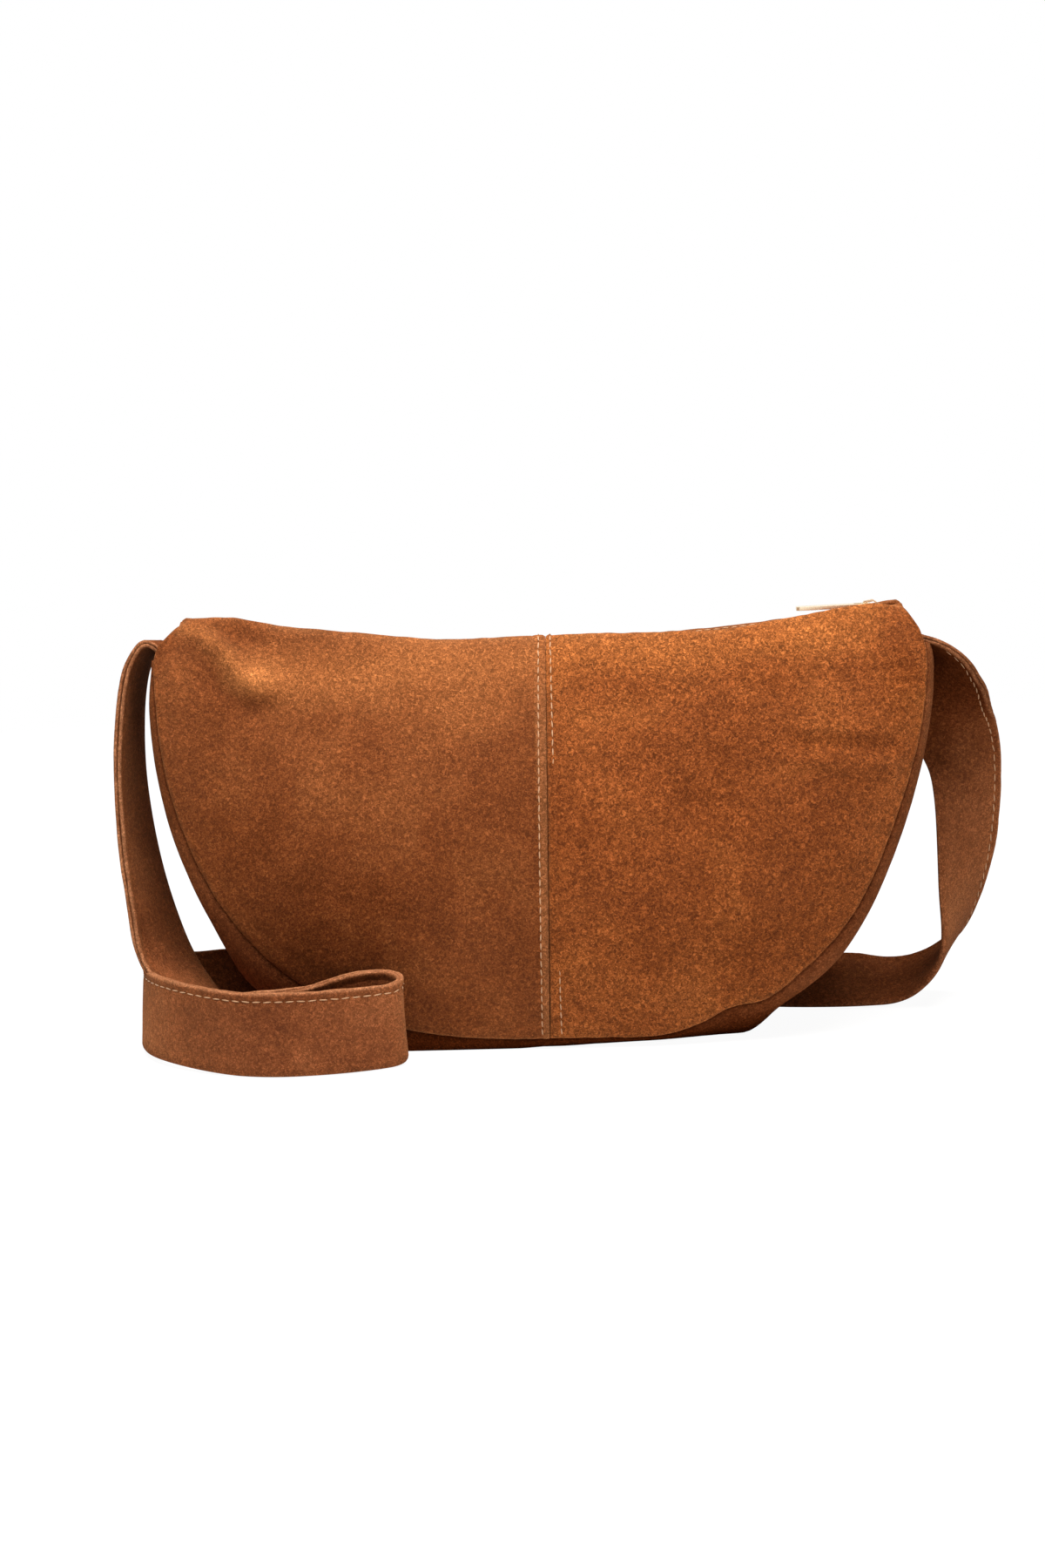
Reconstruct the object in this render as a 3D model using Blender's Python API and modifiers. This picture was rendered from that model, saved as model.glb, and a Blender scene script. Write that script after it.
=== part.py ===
"""Half-moon shoulder bag in suede, closed by a metal zip and carried on a folded strap.

Lengths are in metres. X runs along the zip, Y from the front to the back, and Z up.
The origin is the centre of the flat base. The strap lies as it does when the bag is set down.
"""

import math

import bmesh
import bpy
from mathutils import Matrix, Vector

# Leather and sewing
SUEDE = 0.0015
SEAM_GAP = 0.0005
SEAM_ALLOWANCE = 0.006
ALLOWANCE_LEAN = math.radians(40)

# Half-moon outline of the front and back panels, from the base seam to the top corners
PANEL_HALF_LENGTH = 0.178
PANEL_WIDEST_Z = 0.165
BASE_SEAM_Z = 0.004
PANEL_SIDE_POWER = 2.7
PANEL_CORNER_LENGTH = 0.015
PANEL_CORNER_HEIGHT = 0.034
PANEL_CORNER_TURN = math.radians(42)

# Fullness of the panels: the belly near the base, and the shoulder below the top ridge
BELLY_DEPTH = 0.024
BELLY_HEIGHT_SHARE = 0.36
BELLY_LEAN_SHARE = 0.3
SHOULDER_DEPTH = 0.017
SHOULDER_LEAN_SHARE = 0.85
RIDGE_HALF_GAP = 0.014
RIDGE_LEAN_SHARE = 0.95
FRONT_RIDGE_RISE = 0.0058
BACK_RIDGE_RISE = 0.0012
RIDGE_SINK_SHARE = 0.18
RIDGE_TAPER_POWER = 14
LIP_FULL_SHARE = 0.57
LIP_FLAT_SHARE = 0.68

# Gusset strip that joins the panels round the curve and makes the base
GUSSET_SWELL = 0.004
GUSSET_SAG = 0.005
FLOOR_PRESS = 0.006
GUSSET_SIDE_POWER = 2.9
GUSSET_CORNER_SWELL = 0.008
BASE_HALF_DEPTH = 0.038
GUSSET_FLAT_SHARE = 0.7
GUSSET_ACROSS_SHARES = (-1, -0.9, -0.8, -0.7, 0, 0.7, 0.8, 0.9, 1)

# Strap: one strip folded double, its two raw edges sewn together along one side
STRAP_WIDTH = 0.039
STRAP_LAYER_GAP = 0.0004
STRAP_SIDE_ROOM = 0.002
STRAP_ROOT_DEPTH = 0.002
STRAP_ROOT_RISE = 0.003
STRAP_FLOOR_GAP = 0.0003
STRAP_OUT_REACH = 0.022
STRAP_UP_REACH = 0.035
STRAP_SIDE_REACH = 0.062
RAW_EDGE_DEPTH = 0.004

FOLD_TURN = math.radians(30)

# Zip: a curved row of teeth on each tape, dipping in the middle of the bag
ZIP_UP_REACH = 0.017
ZIP_SAG = 0.0125
ZIP_LEVEL_END = 0.018
ZIP_GAP = 0.0005
BOTTOM_STOP_ROOM = 0.0225
TOP_STOP_ROOM = 0.0075
TOOTH_PITCH = 0.0036
TOOTH_ROOT = 0.0015
TOOTH_TIP = 0.0012
TOOTH_REACH = 0.00085
TOOTH_HALF_HEIGHT = 0.0011
BEAD_INNER = 0.0016
BEAD_OUTER = 0.0027
TAPE_WIDTH = 0.0105
TAPE_THICKNESS = 0.0007
TAPE_INSET = 0.010
STOP_LENGTH = 0.0024
STOP_OVERHANG = 0.0004
STOP_BEVEL = 0.0003

# Slider and its pull tab
SLIDER_LENGTH = 0.012
SLIDER_WALL = 0.00075
SLIDER_PLATE = 0.0011
SLIDER_CLEARANCE = 0.00028
SLIDER_BEVEL = 0.00035
SLIDER_SHOULDER_SHARE = 0.45
SLIDER_MERGE_SHARE = -0.15
TAPE_SLOT_HALF_HEIGHT = 0.0007
POST_HALF_WIDTH = 0.0008
POST_LENGTH = 0.0034
POST_PLACE_SHARE = 0.62
HEM_CLEARANCE = 0.0005
BRIDGE_LENGTH = 0.0082
BRIDGE_HEIGHT = 0.0026
BRIDGE_WIDTH = 0.0026
BRIDGE_THICKNESS = 0.001
PULL_LENGTH = 0.034
PULL_WIDTH = 0.0072
PULL_TIP_WIDTH = 0.0060
PULL_THICKNESS = 0.0018
PULL_ARM = 0.0014
PULL_WINDOW_LENGTH = 0.0062
PULL_BEVEL = 0.0004
PULL_SLOPE = math.radians(1.5)

# How finely the surfaces are divided
FINE_STEPS = 2000
PANEL_COLUMNS = 16
BELLY_STEPS = 10
LIP_STEPS = 4
GUSSET_COLUMNS = 24
STRAP_STEPS = 2
TAPE_COLUMNS = 36
SPREAD_COLUMNS = 6

# Finishes: colour, roughness and metallic value
SMOOTH_SUEDE = ((0.33, 0.115, 0.032), 0.92, 0.0)
COARSE_SUEDE = ((0.35, 0.12, 0.032), 0.95, 0.0)
DARK_SUEDE = ((0.26, 0.085, 0.026), 0.93, 0.0)
TAPE_CLOTH = ((0.20, 0.085, 0.035), 0.85, 0.0)
GOLD_METAL = ((0.83, 0.62, 0.30), 0.25, 1.0)

RIGHT_ANGLE = math.pi / 2
SHARP_TURN = math.radians(40)
UP = Vector((0, 0, 1))
BACK = Vector((0, 1, 0))

# Sizes that follow from those above
STRAP_THICKNESS = 2 * SUEDE + STRAP_LAYER_GAP
GUSSET_END_HALF_DEPTH = STRAP_WIDTH / 2 + STRAP_SIDE_ROOM
PANEL_DROP = PANEL_WIDEST_Z - BASE_SEAM_Z
GUSSET_HALF_LENGTH = PANEL_HALF_LENGTH + GUSSET_SWELL
GUSSET_WIDEST_Z = PANEL_WIDEST_Z - GUSSET_SAG
GUSSET_DROP = GUSSET_WIDEST_Z + FLOOR_PRESS
GUSSET_CORNER_LENGTH = PANEL_CORNER_LENGTH + GUSSET_SWELL
GUSSET_CORNER_HEIGHT = PANEL_CORNER_HEIGHT + GUSSET_CORNER_SWELL
STRAP_REACH = PANEL_HALF_LENGTH + STRAP_OUT_REACH
STRAP_SPREAD = BASE_HALF_DEPTH + STRAP_SIDE_REACH
STRAP_RISE = PANEL_WIDEST_Z + STRAP_UP_REACH
TAPE_HALF_LENGTH = PANEL_HALF_LENGTH - TAPE_INSET
ZIP_MIDDLE_Z = PANEL_WIDEST_Z + ZIP_UP_REACH
ZIP_SAG_HALF_CHORD = TAPE_HALF_LENGTH - ZIP_LEVEL_END
PANEL_END_TURN = RIGHT_ANGLE + PANEL_CORNER_TURN
STRAP_SLOT = STRAP_THICKNESS + 2 * SEAM_GAP
GUSSET_END_TURN = PANEL_END_TURN - 2 * STRAP_SLOT / (PANEL_CORNER_LENGTH + PANEL_CORNER_HEIGHT)
ZIP_RADIUS = (ZIP_SAG_HALF_CHORD ** 2 + ZIP_SAG ** 2) / (2 * ZIP_SAG)
ZIP_CENTRE_Z = ZIP_MIDDLE_Z + ZIP_RADIUS
CHAIN_RIGHT = TAPE_HALF_LENGTH - TOP_STOP_ROOM
TOOTH_COUNT = round((CHAIN_RIGHT + TAPE_HALF_LENGTH - BOTTOM_STOP_ROOM) / TOOTH_PITCH)
CHAIN_LEFT = CHAIN_RIGHT - TOOTH_COUNT * TOOTH_PITCH
MERGE_REACH = TOOTH_PITCH / FINE_STEPS
ROW_SPREAD = TOOTH_REACH + POST_HALF_WIDTH + SLIDER_CLEARANCE
CHANNEL_TAIL = BEAD_OUTER + SLIDER_CLEARANCE
CHANNEL_MOUTH = CHANNEL_TAIL + ROW_SPREAD
SLIDER_PLACE = CHAIN_RIGHT - SLIDER_LENGTH / 2 - ZIP_GAP
SPREAD_START = SLIDER_PLACE + SLIDER_LENGTH / 2 * SLIDER_MERGE_SHARE
SPREAD_END = SLIDER_PLACE + SLIDER_LENGTH / 2 * POST_PLACE_SHARE
SLIDER_OPEN_PLACE = CHAIN_LEFT + SLIDER_LENGTH / 2 + ZIP_GAP
CHANNEL_HALF_HEIGHT = TOOTH_HALF_HEIGHT + SLIDER_CLEARANCE
SLIDER_HALF_HEIGHT = CHANNEL_HALF_HEIGHT + SLIDER_PLATE
PULL_PIVOT_HEIGHT = SLIDER_HALF_HEIGHT + BRIDGE_HEIGHT / 2
HEM_HEIGHT = TAPE_THICKNESS / 2 + ZIP_GAP + SUEDE
HEM_HALF_GAP = CHANNEL_MOUTH + SLIDER_WALL + HEM_CLEARANCE
TAPE_INNER = BEAD_OUTER + ZIP_GAP
ZIP_EDGE_HALF = TAPE_HALF_LENGTH - SUEDE

# Strap route from the left end of the gusset to the right end, chosen by hand.
# Each row: middle of the strap as shares of STRAP_REACH and STRAP_SPREAD, lowest point as a share of
# STRAP_RISE, and the direction across the strap from the raw edges to the fold.
STRAP_ROUTE_SHARES = (
    (-0.925, 0.000, 0.945, 0.06, 1.00, 0.00),
    (-0.946, -0.001, 0.890, 0.14, 0.99, 0.00),
    (-0.957, -0.007, 0.790, 0.21, 0.98, 0.00),
    (-0.964, -0.020, 0.668, 0.24, 0.97, 0.00),
    (-0.962, -0.035, 0.550, 0.27, 0.96, 0.00),
    (-0.952, -0.055, 0.430, 0.32, 0.94, -0.05),
    (-0.932, -0.085, 0.300, 0.38, 0.91, -0.16),
    (-0.900, -0.140, 0.160, 0.40, 0.80, -0.45),
    (-0.858, -0.230, 0.055, 0.28, 0.62, -0.73),
    (-0.800, -0.330, 0.010, 0.12, 0.45, -0.88),
    (-0.730, -0.405, 0.000, 0.00, 0.38, -0.92),
    (-0.640, -0.455, 0.000, 0.00, 0.33, -0.94),
    (-0.540, -0.480, 0.000, 0.00, 0.26, -0.97),
    (-0.460, -0.487, 0.010, 0.00, 0.12, -0.99),
    (-0.400, -0.490, 0.018, 0.00, 0.03, -1.00),
    (-0.362, -0.505, 0.016, 0.00, 0.00, -1.00),
    (-0.340, -0.545, 0.010, 0.00, 0.00, -1.00),
    (-0.335, -0.595, 0.005, 0.00, 0.00, -1.00),
    (-0.355, -0.645, 0.001, 0.00, 0.00, -1.00),
    (-0.400, -0.692, 0.000, 0.00, 0.00, -1.00),
    (-0.480, -0.748, 0.000, 0.00, 0.00, -1.00),
    (-0.570, -0.780, 0.000, 0.00, 0.00, -1.00),
    (-0.660, -0.775, 0.000, 0.00, 0.00, -1.00),
    (-0.755, -0.705, 0.000, 0.00, -0.02, -1.00),
    (-0.845, -0.585, 0.000, 0.00, -0.04, -1.00),
    (-0.915, -0.430, 0.000, -0.06, -0.03, -1.00),
    (-0.948, -0.240, 0.000, -0.10, 0.00, -1.00),
    (-0.952, -0.060, 0.000, -0.08, -0.04, -1.00),
    (-0.930, 0.080, 0.000, 0.00, -0.18, -0.98),
    (-0.875, 0.175, 0.000, 0.03, -0.33, -0.94),
    (-0.790, 0.250, 0.000, 0.00, -0.38, -0.92),
    (-0.690, 0.345, 0.000, 0.00, -0.33, -0.94),
    (-0.590, 0.440, 0.000, 0.00, -0.17, -0.98),
    (-0.485, 0.530, 0.000, 0.00, -0.08, -1.00),
    (-0.370, 0.595, 0.000, 0.00, -0.10, -1.00),
    (-0.250, 0.640, 0.000, 0.00, -0.17, -0.99),
    (-0.125, 0.662, 0.000, 0.00, -0.27, -0.96),
    (0.000, 0.665, 0.000, 0.00, -0.40, -0.92),
    (0.250, 0.622, 0.000, 0.00, -0.65, -0.76),
    (0.360, 0.590, 0.000, 0.00, -0.74, -0.67),
    (0.460, 0.545, 0.000, 0.00, -0.81, -0.59),
    (0.550, 0.480, 0.000, 0.00, -0.86, -0.52),
    (0.700, 0.420, 0.000, 0.00, -0.87, -0.49),
    (0.768, 0.430, 0.000, -0.02, -0.88, -0.47),
    (0.828, 0.445, 0.003, -0.03, -0.92, -0.38),
    (0.885, 0.440, 0.025, -0.05, -0.96, -0.25),
    (0.932, 0.410, 0.065, -0.09, -0.98, -0.14),
    (0.966, 0.370, 0.112, -0.20, -0.97, -0.06),
    (0.986, 0.340, 0.165, -0.37, -0.93, 0.00),
    (0.997, 0.315, 0.225, -0.53, -0.85, 0.00),
    (1.003, 0.295, 0.285, -0.67, -0.74, 0.00),
    (1.006, 0.280, 0.355, -0.80, -0.60, 0.00),
    (1.007, 0.270, 0.430, -0.88, -0.47, 0.00),
    (1.007, 0.265, 0.510, -0.94, -0.34, 0.00),
    (1.004, 0.268, 0.590, -0.99, -0.05, 0.00),
    (1.000, 0.266, 0.655, -0.93, 0.33, 0.00),
    (0.997, 0.240, 0.720, -0.82, 0.57, 0.00),
    (0.990, 0.185, 0.780, -0.67, 0.74, 0.00),
    (0.974, 0.115, 0.832, -0.50, 0.86, -0.03),
    (0.957, 0.058, 0.872, -0.33, 0.94, -0.05),
    (0.942, 0.018, 0.902, -0.14, 0.98, -0.05),
)


def clear_scene():
    for old in list(bpy.data.objects):
        bpy.data.objects.remove(old, do_unlink=True)


def add_collection(name):
    collection = bpy.data.collections.new(name)
    bpy.context.scene.collection.children.link(collection)
    return collection


def make_material(name, finish):
    colour, roughness, metallic = finish
    material = bpy.data.materials.new(name)
    material.use_nodes = True
    shader = material.node_tree.nodes["Principled BSDF"]
    shader.inputs["Base Color"].default_value = (*colour, 1)
    shader.inputs["Roughness"].default_value = roughness
    shader.inputs["Metallic"].default_value = metallic
    return material


def add_part(name, mesh, finish, collection):
    """Object for one sub-part with its own material, shaded smooth except at its sharp edges."""
    part = bpy.data.objects.new(name, mesh)
    collection.objects.link(part)
    mesh.materials.clear()
    mesh.materials.append(make_material(name, finish))
    mesh.shade_smooth()
    mesh.set_sharp_from_angle(angle=SHARP_TURN)
    return part


def smooth_step(value):
    value = min(max(value, 0), 1)
    return value * value * (3 - 2 * value)


def blend(first, second, share):
    return first + (second - first) * share


def bezier(points, share):
    """Point of a cubic curve with four control points."""
    rest = 1 - share
    weights = (rest ** 3, 3 * rest ** 2 * share, 3 * rest * share ** 2, share ** 3)
    return sum((point * weight for point, weight in zip(points, weights)), Vector((0, 0, 0)))


def half_moon(turn, half_length, widest_z, drop, side_power, corner_length, corner_height):
    """Point (x, z) of a half-moon line. The turn is 0 at its foot and a right angle where it is widest."""
    side = math.copysign(1, turn)
    turn = abs(turn)
    if turn <= RIGHT_ANGLE:
        x = half_length * math.sin(turn) ** (2 / side_power)
        z = widest_z - drop * math.cos(turn)
    else:
        x = half_length - corner_length * (1 - math.sin(turn))
        z = widest_z - corner_height * math.cos(turn)
    return Vector((side * x, 0, z))


def seam_line(turn):
    """Line where a panel meets the gusset, in the XZ plane."""
    return half_moon(turn, PANEL_HALF_LENGTH, PANEL_WIDEST_Z, PANEL_DROP, PANEL_SIDE_POWER,
                     PANEL_CORNER_LENGTH, PANEL_CORNER_HEIGHT)


def crown_line(turn):
    """Middle line of the gusset's outer face, which the floor flattens at the base."""
    point = half_moon(turn, GUSSET_HALF_LENGTH, GUSSET_WIDEST_Z, GUSSET_DROP, GUSSET_SIDE_POWER,
                      GUSSET_CORNER_LENGTH, GUSSET_CORNER_HEIGHT)
    point.z = max(point.z, 0)
    return point


def seam_tangent(turn):
    """Direction of the seam line from left to right, in the XZ plane."""
    small = PANEL_END_TURN / FINE_STEPS
    return (seam_line(turn + small) - seam_line(turn - small)).normalized()


def seam_outward(turn):
    tangent = seam_tangent(turn)
    return Vector((tangent.z, 0, -tangent.x))


def seam_half_depth(turn):
    """Half the distance between the front and back seams: widest at the base, strap width at the ends."""
    share = (1 + math.cos(math.pi * turn / PANEL_END_TURN)) / 2
    return blend(GUSSET_END_HALF_DEPTH, BASE_HALF_DEPTH, share)


def even_turns(last_turn, count):
    """Turns from 0 to last_turn that cut the seam line in equal lengths."""
    fine = [last_turn * i / FINE_STEPS for i in range(FINE_STEPS + 1)]
    lengths = [0]
    for first, second in zip(fine, fine[1:]):
        lengths.append(lengths[-1] + (seam_line(second) - seam_line(first)).length)
    turns = []
    place = 0
    for i in range(count + 1):
        wanted = lengths[-1] * i / count
        while place < FINE_STEPS and lengths[place] < wanted:
            place += 1
        turns.append(fine[place])
    return turns


def both_ways(turns):
    return [-turn for turn in reversed(turns[1:])] + turns


def allowance_frame(turn, facing):
    """Directions at a seam: along the turned-in allowance, and across it towards the gusset."""
    outward = seam_outward(turn)
    inside = BACK * -facing
    along = inside * math.sin(ALLOWANCE_LEAN) - outward * math.cos(ALLOWANCE_LEAN)
    across = inside * math.cos(ALLOWANCE_LEAN) + outward * math.sin(ALLOWANCE_LEAN)
    return along, across


def loft(name, rows, ring=False, flip=False):
    """Mesh through rows of points with equal counts; ring joins each row's last point to its first."""
    mesh = bpy.data.meshes.new(name)
    bm = bmesh.new()
    corners = [[bm.verts.new(point) for point in row] for row in rows]
    count = len(corners[0])
    steps = count if ring else count - 1
    for row, following in zip(corners, corners[1:]):
        for i in range(steps):
            j = (i + 1) % count
            face = (row[i], following[i], following[j], row[j])
            bm.faces.new(face[::-1] if flip else face)
    if ring:
        bm.faces.new(corners[0])
        bm.faces.new(corners[-1][::-1])
        bmesh.ops.recalc_face_normals(bm, faces=bm.faces)
    bm.to_mesh(mesh)
    bm.free()
    return mesh


def thicken(part, thickness, offset):
    """Wall of a sheet: offset -1 puts it behind the drawn face, and 0 on both sides of it."""
    wall = part.modifiers.new("wall", "SOLIDIFY")
    wall.thickness = thickness
    wall.offset = offset
    wall.use_even_offset = True
    return wall


def zip_height(x, above=0.0):
    """Height of the zip's curve at x, or of the curve that runs above it."""
    return ZIP_CENTRE_Z - math.sqrt((ZIP_RADIUS - above) ** 2 - x ** 2)


def on_zip(along, across, above):
    """Point measured along the zip's curve from its middle."""
    angle = along / ZIP_RADIUS
    reach = ZIP_RADIUS - above
    return Vector((reach * math.sin(angle), across, ZIP_CENTRE_Z - reach * math.cos(angle)))


def row_spread(along):
    """How far each row has parted from the other: nothing when closed, past the post at the mouth."""
    return ROW_SPREAD * smooth_step((along - SPREAD_START) / (SPREAD_END - SPREAD_START))


def panel_row(turn, share, facing):
    """One line of a panel's outer face, from its allowance up over the ridge to the zip.

    The share says how far the line is from the middle of the bag to its end, and is negative on the left.
    """
    along, across = allowance_frame(turn, facing)
    seam = seam_line(turn) + BACK * facing * seam_half_depth(turn) - across * SEAM_GAP / 2
    edge_x = share * ZIP_EDGE_HALF
    edge = Vector((edge_x, facing * HEM_HALF_GAP, zip_height(edge_x, HEM_HEIGHT)))
    ridge_x = blend(seam.x, edge_x, RIDGE_LEAN_SHARE)
    full_rise = FRONT_RIDGE_RISE if facing < 0 else BACK_RIDGE_RISE
    rise = full_rise * (1 - RIDGE_SINK_SHARE * share ** 2) * (1 - abs(share) ** RIDGE_TAPER_POWER)
    ridge = Vector((ridge_x, facing * RIDGE_HALF_GAP, zip_height(edge_x, HEM_HEIGHT) + rise))
    fullness = (ridge.z - seam.z) / (ZIP_MIDDLE_Z - BASE_SEAM_Z)
    belly = Vector((
        blend(seam.x, edge_x, BELLY_LEAN_SHARE),
        seam.y + facing * BELLY_DEPTH * fullness,
        blend(seam.z, ridge.z, BELLY_HEIGHT_SHARE),
    ))
    shoulder = Vector((
        blend(seam.x, edge_x, SHOULDER_LEAN_SHARE),
        ridge.y + facing * SHOULDER_DEPTH * fullness,
        ridge.z,
    ))
    lip_full = Vector((ridge.x, blend(ridge.y, edge.y, LIP_FULL_SHARE), ridge.z))
    lip_flat = Vector((edge.x, blend(edge.y, ridge.y, LIP_FLAT_SHARE), edge.z))
    row = [seam + along * SEAM_ALLOWANCE]
    row += [bezier((seam, belly, shoulder, ridge), i / BELLY_STEPS) for i in range(BELLY_STEPS)]
    row += [bezier((ridge, lip_full, lip_flat, edge), i / LIP_STEPS) for i in range(LIP_STEPS + 1)]
    return row


def make_panel(name, turns, facing, middle_shift, finish, collection):
    """Front (facing -1) or back (facing 1) panel over the given turns, as a wall of one layer."""
    end = len(even_turns(PANEL_END_TURN, PANEL_COLUMNS)) - 1
    full = both_ways(even_turns(PANEL_END_TURN, PANEL_COLUMNS))
    rows = []
    for turn in turns:
        share = (full.index(turn) - end) / end
        rows.append(panel_row(turn, share, facing))
    if middle_shift:
        inner = 0 if turns[0] == 0 else -1
        rows[inner] = [point + Vector((middle_shift, 0, 0)) for point in rows[inner]]
    part = add_part(name, loft(name, rows, flip=facing > 0), finish, collection)
    thicken(part, SUEDE, -1)
    return part


def gusset_row(turn):
    """One line across the gusset's outer face, with an allowance turned in at each side."""
    seam = seam_line(turn)
    bulge = crown_line(turn) - seam
    half_depth = seam_half_depth(turn)
    row = []
    for share in GUSSET_ACROSS_SHARES:
        edge = max(0, abs(share) - GUSSET_FLAT_SHARE) / (1 - GUSSET_FLAT_SHARE)
        row.append(seam + bulge * (1 - edge ** 2) + BACK * half_depth * share)
    for place, facing in ((0, -1), (-1, 1)):
        along, across = allowance_frame(turn, facing)
        row[place] = row[place] + across * SEAM_GAP / 2
        allowance = row[place] + along * SEAM_ALLOWANCE
        if place == 0:
            row.insert(0, allowance)
        else:
            row.append(allowance)
    return row


def make_gusset(finish, collection):
    rows = [gusset_row(turn) for turn in both_ways(even_turns(GUSSET_END_TURN, GUSSET_COLUMNS))]
    part = add_part("gusset", loft("gusset", rows, flip=True), finish, collection)
    thicken(part, SUEDE, -1)
    return part


def strap_root(side):
    """The strap's sewn end: two places, inside and outside the slot above the gusset's end."""
    turn = side * GUSSET_END_TURN
    outward = seam_outward(turn)
    upward = seam_tangent(turn) * side
    seat = seam_line(turn) + upward * (SEAM_GAP + STRAP_THICKNESS / 2)
    bulge = (crown_line(turn) - seam_line(turn)).length
    return seat - outward * STRAP_ROOT_DEPTH, seat + outward * (bulge + STRAP_ROOT_RISE)


def strap_stations():
    """Places along the strap's middle and the direction across it at each."""
    left = strap_root(-1)
    right = strap_root(1)
    stations = [(left[0], BACK.copy()), (left[1], BACK.copy())]
    for x, y, low, across_x, across_y, across_z in STRAP_ROUTE_SHARES:
        across = Vector((across_x, across_y, across_z)).normalized()
        upright = abs(across.z)
        reach = STRAP_WIDTH / 2 * upright + STRAP_THICKNESS / 2 * math.sqrt(1 - upright ** 2)
        place = Vector((x * STRAP_REACH, y * STRAP_SPREAD, low * STRAP_RISE + reach))
        stations.append((place, across))
    stations += [(right[1], BACK.copy()), (right[0], BACK.copy())]
    return stations


def through(values, place, share):
    """Point of a smooth curve through the values, a share of the way past one of them."""
    a = values[max(place - 1, 0)]
    b = values[place]
    c = values[place + 1]
    d = values[min(place + 2, len(values) - 1)]
    bend = (c - a, a * 2 - b * 5 + c * 4 - d, b * 3 - a - c * 3 + d)
    return b + (bend[0] * share + bend[1] * share ** 2 + bend[2] * share ** 3) / 2


def strap_section(place, across, normal):
    """Ring round the strap: two layers pressed together, with the gap between their raw edges."""
    half = STRAP_THICKNESS / 2
    gap = STRAP_LAYER_GAP / 2
    raw = -STRAP_WIDTH / 2
    seam = raw + RAW_EDGE_DEPTH
    fold = STRAP_WIDTH / 2
    round_start = fold - half * (1 - math.cos(FOLD_TURN))
    round_half = half * math.sin(FOLD_TURN)
    outline = (
        (raw, half), (fold - half, half), (round_start, round_half), (round_start, -round_half),
        (fold - half, -half), (raw, -half), (raw, -gap), (seam, -gap), (seam, gap), (raw, gap),
    )
    return [place + across * along + normal * above for along, above in outline]


def make_strap(finish, collection):
    stations = strap_stations()
    places = [place for place, _ in stations]
    directions = [across for _, across in stations]
    middles = []
    sides = []
    for i in range(len(stations) - 1):
        for step in range(STRAP_STEPS):
            middles.append(through(places, i, step / STRAP_STEPS))
            sides.append(through(directions, i, step / STRAP_STEPS))
    middles.append(places[-1])
    sides.append(directions[-1])
    rows = []
    for i, (middle, across) in enumerate(zip(middles, sides)):
        tangent = (middles[min(i + 1, len(middles) - 1)] - middles[max(i - 1, 0)]).normalized()
        across = (across - tangent * across.dot(tangent)).normalized()
        section = strap_section(middle, across, tangent.cross(across))
        lift = max(0, STRAP_FLOOR_GAP - min(point.z for point in section))
        rows.append([point + UP * lift for point in section])
    return add_part("strap", loft("strap", rows, ring=True), finish, collection)


def make_tape(name, facing, finish, collection):
    """Woven tape beside one row of teeth, its outer part under the panel's hem."""
    places = [blend(-TAPE_HALF_LENGTH, TAPE_HALF_LENGTH, i / TAPE_COLUMNS) for i in range(TAPE_COLUMNS + 1)]
    places = [place for place in places if not SPREAD_START <= place <= SPREAD_END]
    places += [blend(SPREAD_START, SPREAD_END, i / SPREAD_COLUMNS) for i in range(SPREAD_COLUMNS + 1)]
    rows = []
    for along in sorted(places):
        inner = TAPE_INNER + row_spread(along)
        rows.append([on_zip(along, facing * inner, 0), on_zip(along, facing * (TAPE_INNER + TAPE_WIDTH), 0)])
    part = add_part(name, loft(name, rows), finish, collection)
    thicken(part, TAPE_THICKNESS, 0)
    return part


def flat_mesh(name, outlines, half_thickness):
    """Closed mesh of a flat shape drawn in XY, the first outline with any others cut out of it."""
    curve = bpy.data.curves.new(name, "CURVE")
    curve.dimensions = "2D"
    curve.fill_mode = "BOTH"
    curve.extrude = half_thickness
    for outline in outlines:
        spline = curve.splines.new("POLY")
        spline.points.add(len(outline) - 1)
        for point, (x, y) in zip(spline.points, outline):
            point.co = (x, y, 0, 1)
        spline.use_cyclic_u = True
    drawn = bpy.data.objects.new(name, curve)
    bpy.context.scene.collection.objects.link(drawn)
    evaluated = drawn.evaluated_get(bpy.context.evaluated_depsgraph_get())
    mesh = bpy.data.meshes.new_from_object(evaluated)
    bpy.data.objects.remove(drawn, do_unlink=True)
    bpy.data.curves.remove(curve)
    bm = bmesh.new()
    bm.from_mesh(mesh)
    bmesh.ops.remove_doubles(bm, verts=bm.verts, dist=MERGE_REACH)
    bmesh.ops.recalc_face_normals(bm, faces=bm.faces)
    bm.to_mesh(mesh)
    bm.free()
    return mesh


def baked_mesh(part):
    """The part's mesh with its modifiers applied."""
    evaluated = part.evaluated_get(bpy.context.evaluated_depsgraph_get())
    mesh = bpy.data.meshes.new_from_object(evaluated)
    part.modifiers.clear()
    part.data = mesh
    return mesh


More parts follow.
